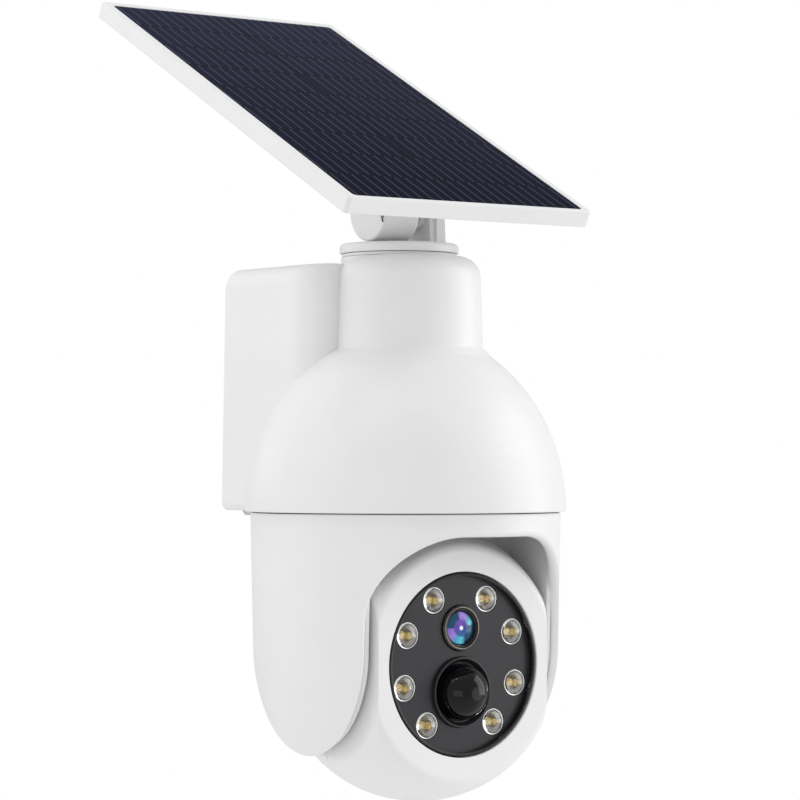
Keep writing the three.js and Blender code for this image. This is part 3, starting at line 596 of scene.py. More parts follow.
def clear_plastic(name):
    """Clear acrylic with a trace of haze, and slight waves from moulding."""
    made = Shading(name)
    wave = made.noise(160, 2)
    made.set(
        base_color=made.ramp(wave, (0.2, (0.94, 0.95, 0.95)), (0.8, (1.0, 1.0, 1.0))),
        roughness=made.spread(made.noise(700), 0.0, 0.05),
        transmission_weight=1.0,
        ior=1.46,
    )
    made.bump(wave, 0.05, 0.03)
    return made.material


def cell_finish(settings, sizes):
    """Solar cells. The map's first value counts panel widths in half widths, the second counts rows:
    a dark line divides the rows and the halves, and thin bright fingers run along the panel, a little
    sideways from one row to the next."""
    made = Shading("solar_cells")
    place = made.node("ShaderNodeUVMap", uv_map="cells").outputs["UV"]
    parts = made.node("ShaderNodeSeparateXYZ", {"Vector": place}).outputs
    across, along = parts["X"], parts["Y"]
    row = made.math("FLOOR", along)
    shift = made.math("MULTIPLY", made.math("FRACT", made.math("MULTIPLY", row, 0.381)), 0.55)
    finger = made.math("FRACT", made.math("ADD", made.math("MULTIPLY", across, sizes.fingers / 2), shift))
    from_middle = made.math("ABSOLUTE", made.math("SUBTRACT", finger, 0.5))
    finger_line = made.spread(from_middle, 1.0, 0.0, 0.05, 0.1)
    row_edge = made.math("ABSOLUTE", made.math("SUBTRACT", made.math("FRACT", along), 0.5))
    row_line = made.spread(row_edge, 0.0, 1.0, 0.468, 0.485)
    half_edge = made.math("ABSOLUTE", made.math("SUBTRACT", across, 1.0))
    half_line = made.spread(half_edge, 1.0, 0.0, 0.008, 0.018)
    gaps = made.math("MAXIMUM", row_line, half_line)
    # Painted sheen: the cells are painted lighter from the front edge to the back edge, standing in for the
    # lights' reflection on the glass.
    rise = made.spread(along, 0.0, 1.0, 0.0, float(sizes.rows))
    tint = made.mix(rise, tuple(settings.cells_near), tuple(settings.cells_far_painted_sheen))
    mottled = made.mix(made.spread(made.noise(70, 4), 0.0, 0.25), tint, (0.016, 0.016, 0.036))
    fingers_on = made.mix(made.math("MULTIPLY", finger_line, 0.5), mottled, (0.09, 0.10, 0.15))
    made.set(
        base_color=made.mix(made.math("MULTIPLY", gaps, 0.75), fingers_on, (0.004, 0.004, 0.008)),
        roughness=made.spread(made.noise(240), 0.2, 0.3),
        specular_ior_level=0.004,
    )
    made.bump(finger_line, 0.3, 0.02)
    return made.material


def lens_painted_reflections(middle):
    """The camera's front glass with painted reflections: rings and sectors of violet, blue and cyan round a
    painted pale highlight in the middle, darker at the edge, and a faint glow in the same colours. The radius
    and the turn round the lens axis choose the colour."""
    made = Shading("lens_painted_reflections")
    parts, radius = made.from_axis(middle, "XZ")
    share = made.spread(radius, 0.0, 1.0, 0.0, 6.2 * MM)
    turn = made.math("ARCTAN2", parts["Z"], parts["X"])
    around = made.spread(turn, 0.0, 1.0, -math.pi, math.pi)
    wobble = made.math("MULTIPLY", made.math("SUBTRACT", made.noise(420, 2), 0.5), 0.06)
    sector = made.math("ADD", around, wobble)
    # Painted reflections: the sectors of colour stand in for the lights reflected in the coated glass.
    outer = made.ramp(
        sector,
        (0.0, (0.22, 0.12, 0.50)), (0.10, (0.30, 0.20, 0.62)), (0.17, (0.05, 0.32, 0.50)),
        (0.27, (0.10, 0.50, 0.66)), (0.32, (0.008, 0.03, 0.08)), (0.45, (0.01, 0.09, 0.16)),
        (0.52, (0.03, 0.06, 0.14)), (0.56, (0.12, 0.55, 0.66)), (0.62, (0.06, 0.26, 0.40)),
        (0.68, (0.26, 0.16, 0.55)), (0.76, (0.30, 0.20, 0.62)), (0.79, (0.01, 0.06, 0.12)),
    )
    inner = made.ramp(
        sector,
        (0.0, (0.10, 0.06, 0.34)), (0.25, (0.03, 0.12, 0.30)), (0.5, (0.02, 0.04, 0.22)),
        (0.75, (0.16, 0.08, 0.40)), (1.0, (0.10, 0.06, 0.34)),
    )
    blend = made.mix(made.spread(share, 0.0, 1.0, 0.44, 0.56), inner, outer)
    # Painted highlight: a pale spot in the middle of the glass.
    painted_highlight = made.mix(made.spread(share, 1.0, 0.0, 0.08, 0.16), blend, (0.85, 0.88, 0.98))
    rim = made.mix(made.spread(share, 0.0, 1.0, 0.9, 0.97), painted_highlight, (0.006, 0.006, 0.01))
    made.set(base_color=rim, roughness=made.spread(wobble, 0.1, 0.22), specular_ior_level=0.3)
    # The painted colours also glow faintly, though the glass gives no light.
    made.link(rim, made.shader.inputs["Emission Color"])
    made.shader.inputs["Emission Strength"].default_value = 0.2
    made.bump(share, 0.15, 0.2)
    return made.material


def sensor_glass(middle):
    """Near-black glossy dome with the sensor can behind it showing as a faint grey disc."""
    made = Shading("sensor_dome_black")
    radius = made.from_axis(middle, "XZ")[1]
    disc = made.spread(radius, 1.0, 0.0, 2.0 * MM, 2.7 * MM)
    cloudy = made.ramp(made.noise(260, 4), (0.3, (0.0015, 0.0015, 0.002)), (0.7, (0.004, 0.004, 0.005)))
    made.set(
        base_color=made.mix(made.math("MULTIPLY", disc, 0.55), cloudy, (0.06, 0.06, 0.06)),
        roughness=made.spread(made.noise(900), 0.03, 0.07),
        specular_ior_level=0.25,
    )
    made.bump(made.noise(150, 1), 0.05, 0.05)
    return made.material


def phosphor_finish(tint):
    """Yellow phosphor in four dice, paler towards each die's middle."""
    made = Shading("phosphor")
    cells = made.node("ShaderNodeTexVoronoi", {"Vector": made.place, "Scale": 900.0}).outputs["Distance"]
    made.set(
        base_color=made.ramp(cells, (0.0, (0.95, 0.82, 0.45)), (0.45, tint), (0.9, shade(tint, 0.6))),
        roughness=made.spread(cells, 0.35, 0.6),
    )
    made.bump(cells, 0.3, 0.05)
    return made.material


FINISH = {}


def make_finishes(settings):
    """Every finish by name."""
    FINISH.update(
        shell=moulded("white_shell", tuple(settings.shell), settings.shell_roughness),
        smooth_white=moulded("white_smooth", shade(settings.shell, 0.98), 0.34, 500, 0.005),
        # Painted shade: a grey darker than the white shell, which darkens the inside seen through the yoke's
        # slot.
        inner=moulded("inner_moulding_painted_shade", (0.30, 0.305, 0.31), 0.55, 600, 0.01),
        black=moulded("black_moulding", (0.018, 0.018, 0.021), 0.4, 1100, 0.01),
        satin_black=moulded("black_satin", (0.010, 0.010, 0.012), 0.22, 1400, 0.004, coat=0.3),
        face=moulded("face_plate_dark", tuple(settings.face), 0.36, 1600, 0.003, 0.08),
        # Painted shade: the face's rim gets a darker copy of the face's colour, which stands in for the shade
        # on its chamfer.
        face_rim=moulded("face_rim_painted_shade", shade(settings.face, 0.35), 0.28, 1600, 0.003, 0.08),
        grey_rubber=rubber("seal_rubber", (0.08, 0.085, 0.09)),
        white_rubber=rubber("flap_rubber", (0.80, 0.80, 0.80)),
        nylon=moulded("nylon", (0.76, 0.72, 0.62), 0.5, 700, 0.01),
        steel=metal("steel", (0.62, 0.63, 0.64), 0.3),
        chrome=metal("bright_ring", (0.93, 0.93, 0.94), 0.14, (1, 1, 1)),
        bronze=metal("bronze_line", (0.34, 0.28, 0.22), 0.3, (1, 1, 1)),
        brass=metal("brass", (0.72, 0.52, 0.22), 0.3),
        board=board_finish("green_board", (0.012, 0.08, 0.03), (0.05, 0.22, 0.08)),
        white_board=board_finish("white_board", (0.78, 0.78, 0.76), (0.60, 0.60, 0.56)),
        cup=metal("reflector_cup", (0.50, 0.49, 0.46), 0.3, (1, 1, 1)),
        cell_wrap=moulded("cell_wrap", (0.03, 0.13, 0.38), 0.3, 400, 0.01, 0.2, coat=0.4),
        clear=clear_plastic("clear_lens"),
        phosphor=phosphor_finish(tuple(settings.phosphor)),
    )


# ---- operators ------------------------------------------------------------------------------------

class CAMERA_OT_finishes(Operator):
    """Make every finish"""
    bl_idname = "solar_camera.finishes"
    bl_label = "Finishes"

    def execute(self, context):
        make_finishes(context.scene.camera_finishes)
        return {"FINISHED"}


def dome_and_neck(sizes, inset, around):
    """Dome and neck as one turned surface whose centre moves: the profile is a rounded rim, an ellipse,
    a hollow fillet, the tapered neck and its round shoulder, and the centre of each ring eases forward
    by the neck's offset between the dome's upper part and the neck."""
    base = sizes.neck_radius - inset
    top_radius = sizes.neck_top_radius - inset
    height = sizes.dome_height - inset
    radius = DOME_RADIUS - inset
    top = NECK_TOP - inset
    foot = max(0.0, -inset)
    steep = np.linspace(0.03, math.acos((base + 3.4) / radius), 40)
    dome = [(radius * math.cos(t), height * math.sin(t), 0) for t in steep]
    meet = height * math.sqrt(1 - (base / radius) ** 2)
    corners = [(0, foot - inset, 0), (radius, foot - inset, 0.5 if inset == 0 else 0)]
    corners += dome
    corners += [(base, meet, sizes.neck_fillet if inset == 0 else 0)]
    corners += [(top_radius, top, sizes.shoulder - inset), (0, top, 0)]
    profile = rounded(corners, steps=12)
    if inset:
        profile = with_ledge(profile)
    share = ease((base + 5.5 - profile[:, 0]) / 5.5) * (profile[:, 1] > 0.6 * meet)
    surface, faces = spun(profile, around=around)
    shift = np.repeat(share, around) * sizes.neck_forward
    surface[:, 1] -= shift
    return surface, faces


def with_ledge(profile):
    """The hollow's profile with a step inwards low down, which leaves a ledge on the wall."""
    reach, low, high = 49.5, 5.7, 8.2
    above = profile[(profile[:, 1] > high + 0.5)]
    start = profile[0]
    low_radius = profile[1, 0]
    step = np.array([start, (low_radius, start[1]), (low_radius, low), (reach, low), (reach, high)])
    return np.vstack([step, (low_radius - 0.6, high), above])


def box_section(sizes, inset):
    """The rear box seen along Y, narrower at the top, with its half width and top."""
    half, top_half = sizes.box_half_width - inset, sizes.box_top_half_width - inset
    top, corner = sizes.box_top - inset, sizes.box_corner - inset
    corners = [(-half, inset, 3), (half, inset, 3), (top_half, top, corner), (-top_half, top, corner)]
    return rounded(corners, True, 8), half, top


def rear_box(sizes, inset, back):
    """The rear box as rows along Y: the outline narrows near the front by the radius of the upright
    edges minus its circle, and sinks at top and bottom by the same rule with a smaller radius."""
    front = sizes.box_front + inset
    edge = sizes.box_edge - inset
    outline, half, top = box_section(sizes, inset)
    t = np.linspace(0, math.pi / 2, 11)
    depth = np.concatenate([edge * (1 - np.cos(t)), [back - front - 0.6, back - front]])
    narrowing = np.concatenate([edge * (1 - np.sin(t)), [0, 0.3 if inset == 0 else 0]])
    sinking = np.where(depth < 1.5, 1.5 - np.sqrt(np.clip(1.5 ** 2 - (1.5 - depth) ** 2, 0, None)), 0)
    x = outline[None, :, 0] * (1 - narrowing / half)[:, None]
    middle = (top + inset) / 2
    z = middle + (outline[None, :, 1] - middle) * (1 - sinking / middle)[:, None]
    y = np.broadcast_to((front + depth)[:, None], x.shape)
    return grid(np.stack([x, y, z], -1), capped=True)


POCKET = {"floor": 37.9, "y": (39.7, 58.3), "z": (29.7, 58.3)}
PORT = {"y": (44.2, 53.8), "z": (49.0, 53.0)}
SWITCH = {"y": (47.1, 50.9), "z": (36.4, 43.1)}
SPEAKER_HOLES = {"y": 28.5, "z": 65, "radius": 1.0, "ring": 5.0, "count": 6}
LOCK_SCREW = (-30, 57.5)


class CAMERA_OT_housing(Operator):
    """Dome, neck and rear box as one hollow moulding with its openings"""
    bl_idname = "solar_camera.housing"
    bl_label = "Housing"

    def execute(self, context):
        sizes = measured("camera_housing")
        wall = sizes.wall
        boss = measured("camera_panel").swivel_radius - 0.6
        place = in_housing

        def boss_surface(inset, foot):
            radius, top = boss - inset, NECK_TOP - inset
            return turned([(0, foot, 0), (radius, foot, 0), (radius, top, 0.5), (0, top, 0)],
                          centre=(0, SWIVEL_Y, 0))

        shell = rough_piece("housing_moulding", [dome_and_neck(sizes, 0, 192)], place)
        join(shell, [boss_surface(0, 64)], place)
        join(shell, [rear_box(sizes, 0, BOX_BACK)], place)
        hollow = rough_piece("hollow", [dome_and_neck(sizes, wall, 96)], place)
        join(hollow, [boss_surface(wall, 62)], place)
        join(hollow, [rear_box(sizes, wall, BOX_BACK + 5)], place)
        combine(shell, hollow, "DIFFERENCE")
        far = sizes.box_half_width + 3
        pocket = pillow(
            box_outline(*POCKET["y"], *POCKET["z"], 1.2), POCKET["floor"], far, 0.01, axis="x",
        )
        cut(shell, [pocket], place)
        holes = [
            rod(7.4, NECK_TOP - 6, NECK_TOP + 2, centre=(0, SWIVEL_Y, 0), around=48),
            pillow(box_outline(*PORT["y"], *PORT["z"], 1.9), 30, far, 0.01, axis="x"),
            pillow(box_outline(*SWITCH["y"], *SWITCH["z"], 0.3), 30, far, 0.01, axis="x"),
            rod(1.9, -1, 4, centre=(*LOCK_SCREW, 0), around=32),
        ]
        middle = (SPEAKER_HOLES["y"], SPEAKER_HOLES["z"])
        ring = round_outline(SPEAKER_HOLES["ring"], SPEAKER_HOLES["count"], middle).tolist()
        holes += [rod(SPEAKER_HOLES["radius"], 30, far, "x", (0, y, z), 20) for y, z in [middle] + ring]
        cut(shell, holes, place)
        finished(shell, FINISH["shell"], "housing", ["main_housing"])
        return {"FINISHED"}


def cross_screw(head, height, shank, reach):
    """A pan-head screw standing on z = 0 with its head below: head profile turned about Z."""
    corners = [(0, -height, 0), (head * 0.72, -height, 0.4), (head, -height * 0.35, 0.3), (head, 0, 0.1),
               (shank, 0, 0), (shank, reach - shank, 0.1), (0, reach, 0)]
    return turned(corners, around=40, steps=4)


def cross_recess(head, height):
    """Two crossed blocks that cut the recess of a cross-head screw."""
    wide, long, deep = head * 0.15, head * 0.6, height * 0.55
    return [block(-wide, wide, -long, long, -height - 1, -height + deep),
            block(-long, long, -wide, wide, -height - 1, -height + deep)]


class CAMERA_OT_wall_plate(Operator):
    """Wall plate with its screw holes, and the screw that locks the housing to it"""
    bl_idname = "solar_camera.wall_plate"
    bl_label = "Wall plate"

    def execute(self, context):
        sizes = measured("camera_housing")
        inset = sizes.wall + 0.3
        outline = box_section(sizes, inset)[0]
        slab = pillow(outline, WALL_FACE - 3, WALL_FACE, 0.4, axis="y")
        plate = rough_piece("wall_plate_moulding", [slab], in_housing)
        lug = pillow(box_outline(LOCK_SCREW[0] - 4, LOCK_SCREW[0] + 4, 53.5, WALL_FACE - 2, 1), 3.2, 8, 0.3)
        join(plate, [lug], in_housing)
        groove = [pillow(offset(outline, -2.4), WALL_FACE - 0.5, WALL_FACE + 1, 0.01, axis="y")]
        ribs = rough_piece("part", groove, in_housing)
        cut(ribs, [pillow(offset(outline, -3.4), WALL_FACE - 1, WALL_FACE + 2, 0.01, axis="y")], in_housing)
        combine(plate, ribs, "DIFFERENCE")
        holes = [rod(1.8, 0, 12, centre=(*LOCK_SCREW, 0), around=32)]
        countersink = [(0, -4), (4.4, -4), (4.4, -2.9), (2.3, -1.2), (2.3, 2), (0, 2)]
        holes += [spun(countersink, "y", (x, WALL_FACE, z), 40) for x in (-24, 24) for z in (22, 66)]
        cut(plate, holes, in_housing)
        finished(plate, FINISH["smooth_white"], "housing", ["wall_plate"])
        head, height = 3.0, 1.8
        shift = (*LOCK_SCREW, -0.1)
        screw = rough_piece("lock_screw", [moved(cross_screw(head, height, 1.5, 8.2), shift)], in_housing)
        recess = [moved(cutter, shift) for cutter in cross_recess(head, height)]
        for cutter in recess:
            cut(screw, [cutter], in_housing)
        finished(screw, FINISH["steel"], "housing", ["plate_lock_screw"])
        return {"FINISHED"}


class CAMERA_OT_port_flap(Operator):
    """Rubber flap over the charging port with its pull tab"""
    bl_idname = "solar_camera.port_flap"
    bl_label = "Port flap"

    def execute(self, context):
        y0, y1 = POCKET["y"]
        z0, z1 = POCKET["z"]
        outline = box_outline(y0 + 0.3, y1 - 0.3, z0 + 0.3, z1 - 0.3, 1.1)
        lid = pillow(outline, POCKET["floor"] + 0.15, 39.9, 0.35, "x")
        tab = pillow(box_outline(y0 + 1, y0 + 3, 40, 48, 0.9), 39.5, 40.9, 0.4, "x")
        flap = rough_piece("rubber_flap", [lid], in_housing)
        join(flap, [tab], in_housing)
        finished(flap, FINISH["white_rubber"], "port_flap", ["port_flap"])
        return {"FINISHED"}


def yoke_radius(sizes, z, inset):
    """Radius of the yoke at height z: a line down the skirt with a slight draft, then an ellipse."""
    skirt_z = -sizes.skirt_depth
    skirt = sizes.skirt_radius - inset
    draft = (z - skirt_z) / (YOKE_TOP - skirt_z) * (YOKE_RADIUS - sizes.skirt_radius)
    depth = np.clip((skirt_z - z) / (sizes.bowl - inset), 0, 1)
    return np.where(z >= skirt_z, skirt + draft, skirt * np.sqrt(1 - depth ** 2))


def slot_edge(sizes, inset, grow, count):
    """Turns and heights along a quarter of the slot's edge on the yoke. For each turn the height is the
    first, going down, where the surface enters the slot's outline, found by halving an interval, and the
    edge is then divided into stretches of equal length."""
    half = sizes.slot_half_width + grow
    top = -sizes.slot_top + grow
    corner = sizes.slot_corner + grow

    def inside(turn, z):
        x = yoke_radius(sizes, z, inset) * np.sin(turn)
        along = np.clip(x - (half - corner), 0, corner)
        roof = top - corner + np.sqrt(np.clip(corner ** 2 - along ** 2, 0, None))
        return (x < half) & (z < roof)

    turn = np.linspace(0, math.pi / 2, 3000)
    heights = np.linspace(top, -sizes.skirt_depth - sizes.bowl + inset, 1500)
    entered = inside(turn[:, None], heights[None, :])
    first = entered.argmax(1)
    high, low = heights[np.maximum(first - 1, 0)], heights[first]
    for _ in range(30):
        middle = (high + low) / 2
        within = inside(turn, middle)
        low, high = np.where(within, middle, low), np.where(within, high, middle)
    z = (low + high) / 2
    radius = yoke_radius(sizes, z, inset)
    points = np.stack([radius * np.sin(turn), -radius * np.cos(turn), z], -1)
    run = np.concatenate([[0], np.cumsum(np.linalg.norm(np.diff(points, axis=0), axis=1))])
    even = np.linspace(0, run[-1], count + 1)
    return np.interp(even, run, turn), np.interp(even, run, z)


def all_round(turn, z):
    """A quarter's turns and heights mirrored to the half and to the whole circle."""
    half_turn = np.concatenate([turn, math.pi - turn[-2::-1]])
    half_z = np.concatenate([z, z[-2::-1]])
    return np.concatenate([half_turn, -half_turn[-2:0:-1]]), np.concatenate([half_z, half_z[-2:0:-1]])


def yoke_surface(sizes, wall, count=110, rows=36):
    """The yoke's wall as one closed surface. Each column goes down the outside to the slot's edge, round
    the lip and up the inside. The lip is half a turn: halfway between the two edges the surface stands
    out by the lip's size, along the direction at right angles to the edge and to the wall. Within the
    last few millimetres the wall thickens inwards by the flange."""
    lip, flange = sizes.lip, sizes.flange
    outer_turn, outer_end = all_round(*slot_edge(sizes, 0, lip, count))
    inner_turn, inner_end = all_round(*slot_edge(sizes, wall + flange, lip, count))

    def wall_points(turn, z, inset):
        radius = yoke_radius(sizes, z, inset)
        return np.stack([radius * np.sin(turn), -radius * np.cos(turn), z], -1)

    down = np.linspace(0, 1, rows)[:, None]
    soft = 0.5
    outside = wall_points(outer_turn[None], YOKE_TOP - soft + down * (outer_end - YOKE_TOP + soft)[None], 0)
    inside_z = YOKE_TOP - soft + down * (inner_end - YOKE_TOP + soft)[None]
    thickening = wall + flange * ease(1 - (inside_z - inner_end[None]) / 3)
    inside = wall_points(inner_turn[None], inside_z, thickening)
    start, end = outside[-1], inside[-1]
    along = np.roll(start, -1, 0) - np.roll(start, 1, 0)
    across = start - end
    outwards = np.cross(along, across)
    outwards /= np.linalg.norm(outwards, axis=1, keepdims=True)
    low_end = np.where(outwards[:, 2:] > 0.05, -1.0, 1.0)
    side = np.sign(outwards[:, :1] * start[:, :1])
    outwards *= np.where(np.abs(outwards[:, 2:]) > 0.05, low_end, -side)
    half_turn = np.linspace(0, math.pi, 9)[1:-1, None, None]
    lip_rows = start + (end - start) * (1 - np.cos(half_turn)) / 2 + outwards * lip * np.sin(half_turn)
    quarter = np.linspace(0, math.pi / 2, 4)[:-1, None]
    top_out = wall_points(outer_turn[None], YOKE_TOP - soft * (1 - np.cos(quarter)) + 0 * outer_turn, 0)
    shrink = 1 - soft * (1 - np.sin(quarter))[..., None] / YOKE_RADIUS
    top_out[..., :2] *= shrink
    top_in = wall_points(inner_turn[None], YOKE_TOP - soft * (1 - np.cos(quarter)) + 0 * inner_turn, wall)
    return grid(np.concatenate([top_out, outside, lip_rows, inside[::-1], top_in[::-1]]), looped=True)


class CAMERA_OT_yoke(Operator):
    """Turning yoke with its rounded slot, and the two inner lobe covers"""
    bl_idname = "solar_camera.yoke"
    bl_label = "Yoke"

    def execute(self, context):
        sizes = measured("camera_yoke")
        wall = measured("camera_housing").wall
        piece("yoke_moulding", [yoke_surface(sizes, wall)], in_housing, FINISH["shell"], "yoke",
              ["yoke_shell"])
        top = span("yoke_roof", 2)[0] - 0.3
        gap = wall + 0.3
        deepest = -sizes.skirt_depth - (sizes.bowl - gap) * math.sqrt(
            1 - (COVER_OUTER / (sizes.skirt_radius - gap)) ** 2)
        sweep = np.linspace(0, math.pi / 2, 60)
        z = top + (deepest - top) * np.sin(sweep)
        y = np.sqrt(np.clip(yoke_radius(sizes, z, gap) ** 2 - COVER_OUTER ** 2, 0, None))
        outline = np.concatenate([np.stack([y, z], -1), np.stack([-y, z], -1)[-2::-1]])
        if (np.cross(outline, np.roll(outline, -1, 0))).sum() < 0:
            outline = outline[::-1]
        centre = TILT_AXIS - RIM
        for side, name, node, bore, boss in ((-1, "left_lobe_wall", "left_lobe_cover", 2.7, (6, 47)),
                                             (1, "right_lobe_wall", "right_lobe_cover", 8.4, (11, 46))):
            low, high = sorted((side * COVER_INNER, side * COVER_OUTER))
            cover = rough_piece(name, [pillow(outline, low, high, 0.5, axis="x")], in_housing)
            ends = sorted((side * (COVER_OUTER - 0.5), side * boss[1]))
            ring = rod(boss[0], ends[0], ends[1], "x", centre, 48)
            join(cover, [ring], in_housing)
            reach = sorted((side * 30, side * (boss[1] - 1.5)))
            hole = rod(bore, reach[0], reach[1], "x", centre, 40)
            cut(cover, [hole], in_housing)
            finished(cover, FINISH["smooth_white"], "yoke", [node])
        return {"FINISHED"}


def soft_limit(x, limit, softness=0.3):
    """x held within plus and minus limit, with a smooth bend: limit minus softness times the logarithm
    of one plus the exponential of the distance still to go over softness."""
    room = (limit - np.abs(x)) / softness
    held = limit - softness * np.logaddexp(0, room)
    return np.sign(x) * np.minimum(held, np.abs(x))


def ball_arc(radius, start, end, count):
    """Points of the ball's outline between two places along its axis, evenly turned."""
    turn = np.linspace(math.asin(start / radius), math.asin(min(1.0, end / radius)), count)
    return [(radius * math.cos(t), radius * math.sin(t), 0) for t in turn]


def ball_surface(outer, inner, side, wall, around=256):
    """A closed ring or bowl turned about Y from an outside and an inside line, with X held within the
    side flats, which lie deeper for the inside by the wall."""
    profile = np.concatenate([outer, inner])
    limits = np.concatenate([np.full(len(outer), side), np.full(len(inner), side - wall)])
    points, faces = spun(profile, "y", around=around, looped=True)
    points[:, 0] = soft_limit(points[:, 0], np.repeat(limits, around))
    return points, faces


HATCH = {"half_width": 14.7, "low": -22.7, "high": -5.3, "lid": 2.4, "well_floor": 36.0}


def ball_patch(radius, half_width, low, high, thickness, edge, counts=(40, 26)):
    """A piece of the ball's wall behind a rectangle: on a grid of x and z, y is the height of the sphere
    over the rectangle, for the outside and for the inside, and the outside sinks near its rim by edge."""
    across = np.linspace(-1, 1, counts[0])
    up = np.linspace(0, 1, counts[1])
    x, z = np.meshgrid(across * half_width, low + up * (high - low), indexing="ij")
    rim = np.minimum.reduce([half_width - np.abs(x), z - low, high - z])
    sink = edge - np.sqrt(np.clip(edge ** 2 - (edge - np.clip(rim, 0, edge)) ** 2, 0, None))
    outside = np.stack([x, np.sqrt(radius ** 2 - x ** 2 - z ** 2) - sink, z], -1)
    depth = radius - thickness
    inside = np.stack([x, np.sqrt(depth ** 2 - x ** 2 - z ** 2), z], -1)
    rows, columns = x.shape
    index = np.arange(rows * columns).reshape(rows, columns)
    quads = np.stack([index[:-1, :-1], index[1:, :-1], index[1:, 1:], index[:-1, 1:]], -1).reshape(-1, 4)
    ring = np.concatenate([index[:-1, 0], index[-1, :-1], index[:0:-1, -1], index[0, :0:-1]])
    following = np.roll(ring, -1)
    size = rows * columns
    walls = np.stack([ring, following, following + size, ring + size], -1)
    faces = quads.tolist() + (quads[:, ::-1] + size).tolist() + walls.tolist()
    return np.concatenate([outside.reshape(-1, 3), inside.reshape(-1, 3)]), faces


class CAMERA_OT_ball(Operator):
    """The ball's front and rear shells and the hatch lid in the rear one"""
    bl_idname = "solar_camera.ball"
    bl_label = "Ball"

    def execute(self, context):
        sizes = measured("camera_head")
        wall = measured("camera_housing").wall
        radius, side = sizes.ball_radius, sizes.ball_side
        face, split = -sizes.ball_face, sizes.ball_split
        recess = sizes.face_radius + 0.3
        floor = face + 4.65
        corner = math.sqrt(radius ** 2 - face ** 2)
        inner_radius = radius - wall
        inner_face = face + 6.4
        front_outer = rounded(
            [(recess, floor, 0), (recess, face, 0.45), (corner, face, 4.0)]
            + ball_arc(radius, face + 3.0, split - 0.5, 60)
            + [(math.sqrt(radius ** 2 - split ** 2) - 0.25, split - 0.1, 0)], steps=8)
        front_inner = rounded(
            ball_arc(inner_radius, split - 0.1, inner_face, 30)
            + [(31.2, inner_face, 0), (31.2, floor, 0)], steps=4)
        front = rough_piece("ball_front", [ball_surface(front_outer, front_inner, side, wall)], in_head)
        rear_outer = np.array([(math.sqrt(radius ** 2 - split ** 2) - 0.25, split + 0.1)]
                              + [p[:2] for p in ball_arc(radius, split + 0.5, radius, 60)])
        rear_inner = np.array([p[:2] for p in ball_arc(inner_radius, split + 0.1, inner_radius, 30)][::-1])
        rear = rough_piece("ball_rear", [ball_surface(rear_outer, rear_inner, side, wall)], in_head)
        pivots = [rod(5.2, -45, -30, "x", around=40),
                  rod(6.5, 30, 45, "x", around=40)]
        cut(front, pivots, in_head)
        cut(rear, pivots, in_head)
        low, high, half = HATCH["low"], HATCH["high"], HATCH["half_width"]
        lining = rough_piece("part", [block(-17, 17, 34.5, 50, -25, -3)], in_head)
        sphere = [(0, -50)] + [p[:2] for p in ball_arc(50, -49.9, 50, 60)]
        combine(lining, rough_piece("inner", [spun(sphere, "y")], in_head), "INTERSECT")
        combine(rear, lining, "UNION")
        depth = 8 + HATCH["lid"] + 0.8
        seat = ball_patch(radius + 8, half + 0.3, low - 0.3, high + 0.3, depth, 0.01, (30, 20))
        cut(rear, [seat], in_head)
        well = pillow(box_outline(-13, 13, -21, -7, 1), HATCH["well_floor"], 55, 0.01, axis="y")
        cut(rear, [well], in_head)
        details = [block(-9, 9, 30, 60, -17, -13),
                   rod(1.7, 30, 60, "y", (0, 0, -10.2), 24)]
        cut(rear, details, in_head)
        finished(front, FINISH["shell"], "head", ["ball_front_shell"])
        finished(rear, FINISH["shell"], "head", ["ball_rear_shell"])
        lid = rough_piece("hatch_lid", [ball_patch(radius, half, low, high, HATCH["lid"], 0.5)], in_head)
        notch = rod(1.6, 44, 60, "y", (0, 0, low - 0.5), 32)
        cut(lid, [notch], in_head)
        finished(lid, FINISH["shell"], "service_cover", ["service_cover"])
        return {"FINISHED"}


LIGHT_ANGLES = (27, 65, 107, 145)


def light_places(sizes):
    """Places of the eight lights on the face, as (x, z): four angles from straight up, on both sides."""
    turns = np.radians(LIGHT_ANGLES)
    ring = sizes.light_ring
    right = [(ring * math.sin(t), ring * math.cos(t)) for t in turns]
    return right + [(-x, z) for x, z in right[::-1]]


class CAMERA_OT_face(Operator):
    """Dark face plate with a chamfered rim and a hole for each light, the lens and the motion sensor"""
    bl_idname = "solar_camera.face"
    bl_label = "Face plate"

    def execute(self, context):
        sizes = measured("camera_head")
        front, floor = 0.2, sizes.face_depth
        radius = sizes.face_radius
        disc = pillow(round_outline(radius - 1.3, 192), floor, floor + 2.2, 0.05, "y", 1)
        plate = rough_piece("face_disc", [disc], in_face)

        def hole(size, x, z, count=56):
            return rod(size, -6.5, 8.5, "y", (x, 0, z), count)

        holes = [hole(sizes.light_radius + 0.3, x, z) for x, z in light_places(sizes)]
        holes.append(hole(8.4, 0, sizes.lens_height, 72))
        holes.append(hole(sizes.sensor_recess + 0.2, 0, -sizes.sensor_drop, 96))
        cut(plate, holes, in_face)
        softened(plate, 0.3, 3, 60)
        finished(plate, FINISH["face"], "head", ["face_plate"])
        # The rim's finish is a darker copy of the face's colour: painted shade on the chamfer.
        rim = [(radius - 1.35, floor - 0.15, 0), (radius - 1.2, front + 0.1, 0.2), (radius - 0.5, front, 0.3),
               (radius, front + 0.8, 0.3), (radius, front + 4.4, 0), (radius - 1.35, front + 4.4, 0)]
        piece("face_rim", [turned(rim, "y", around=192, closed=True, steps=5)], in_face, FINISH["face_rim"],
              "head")
        return {"FINISHED"}


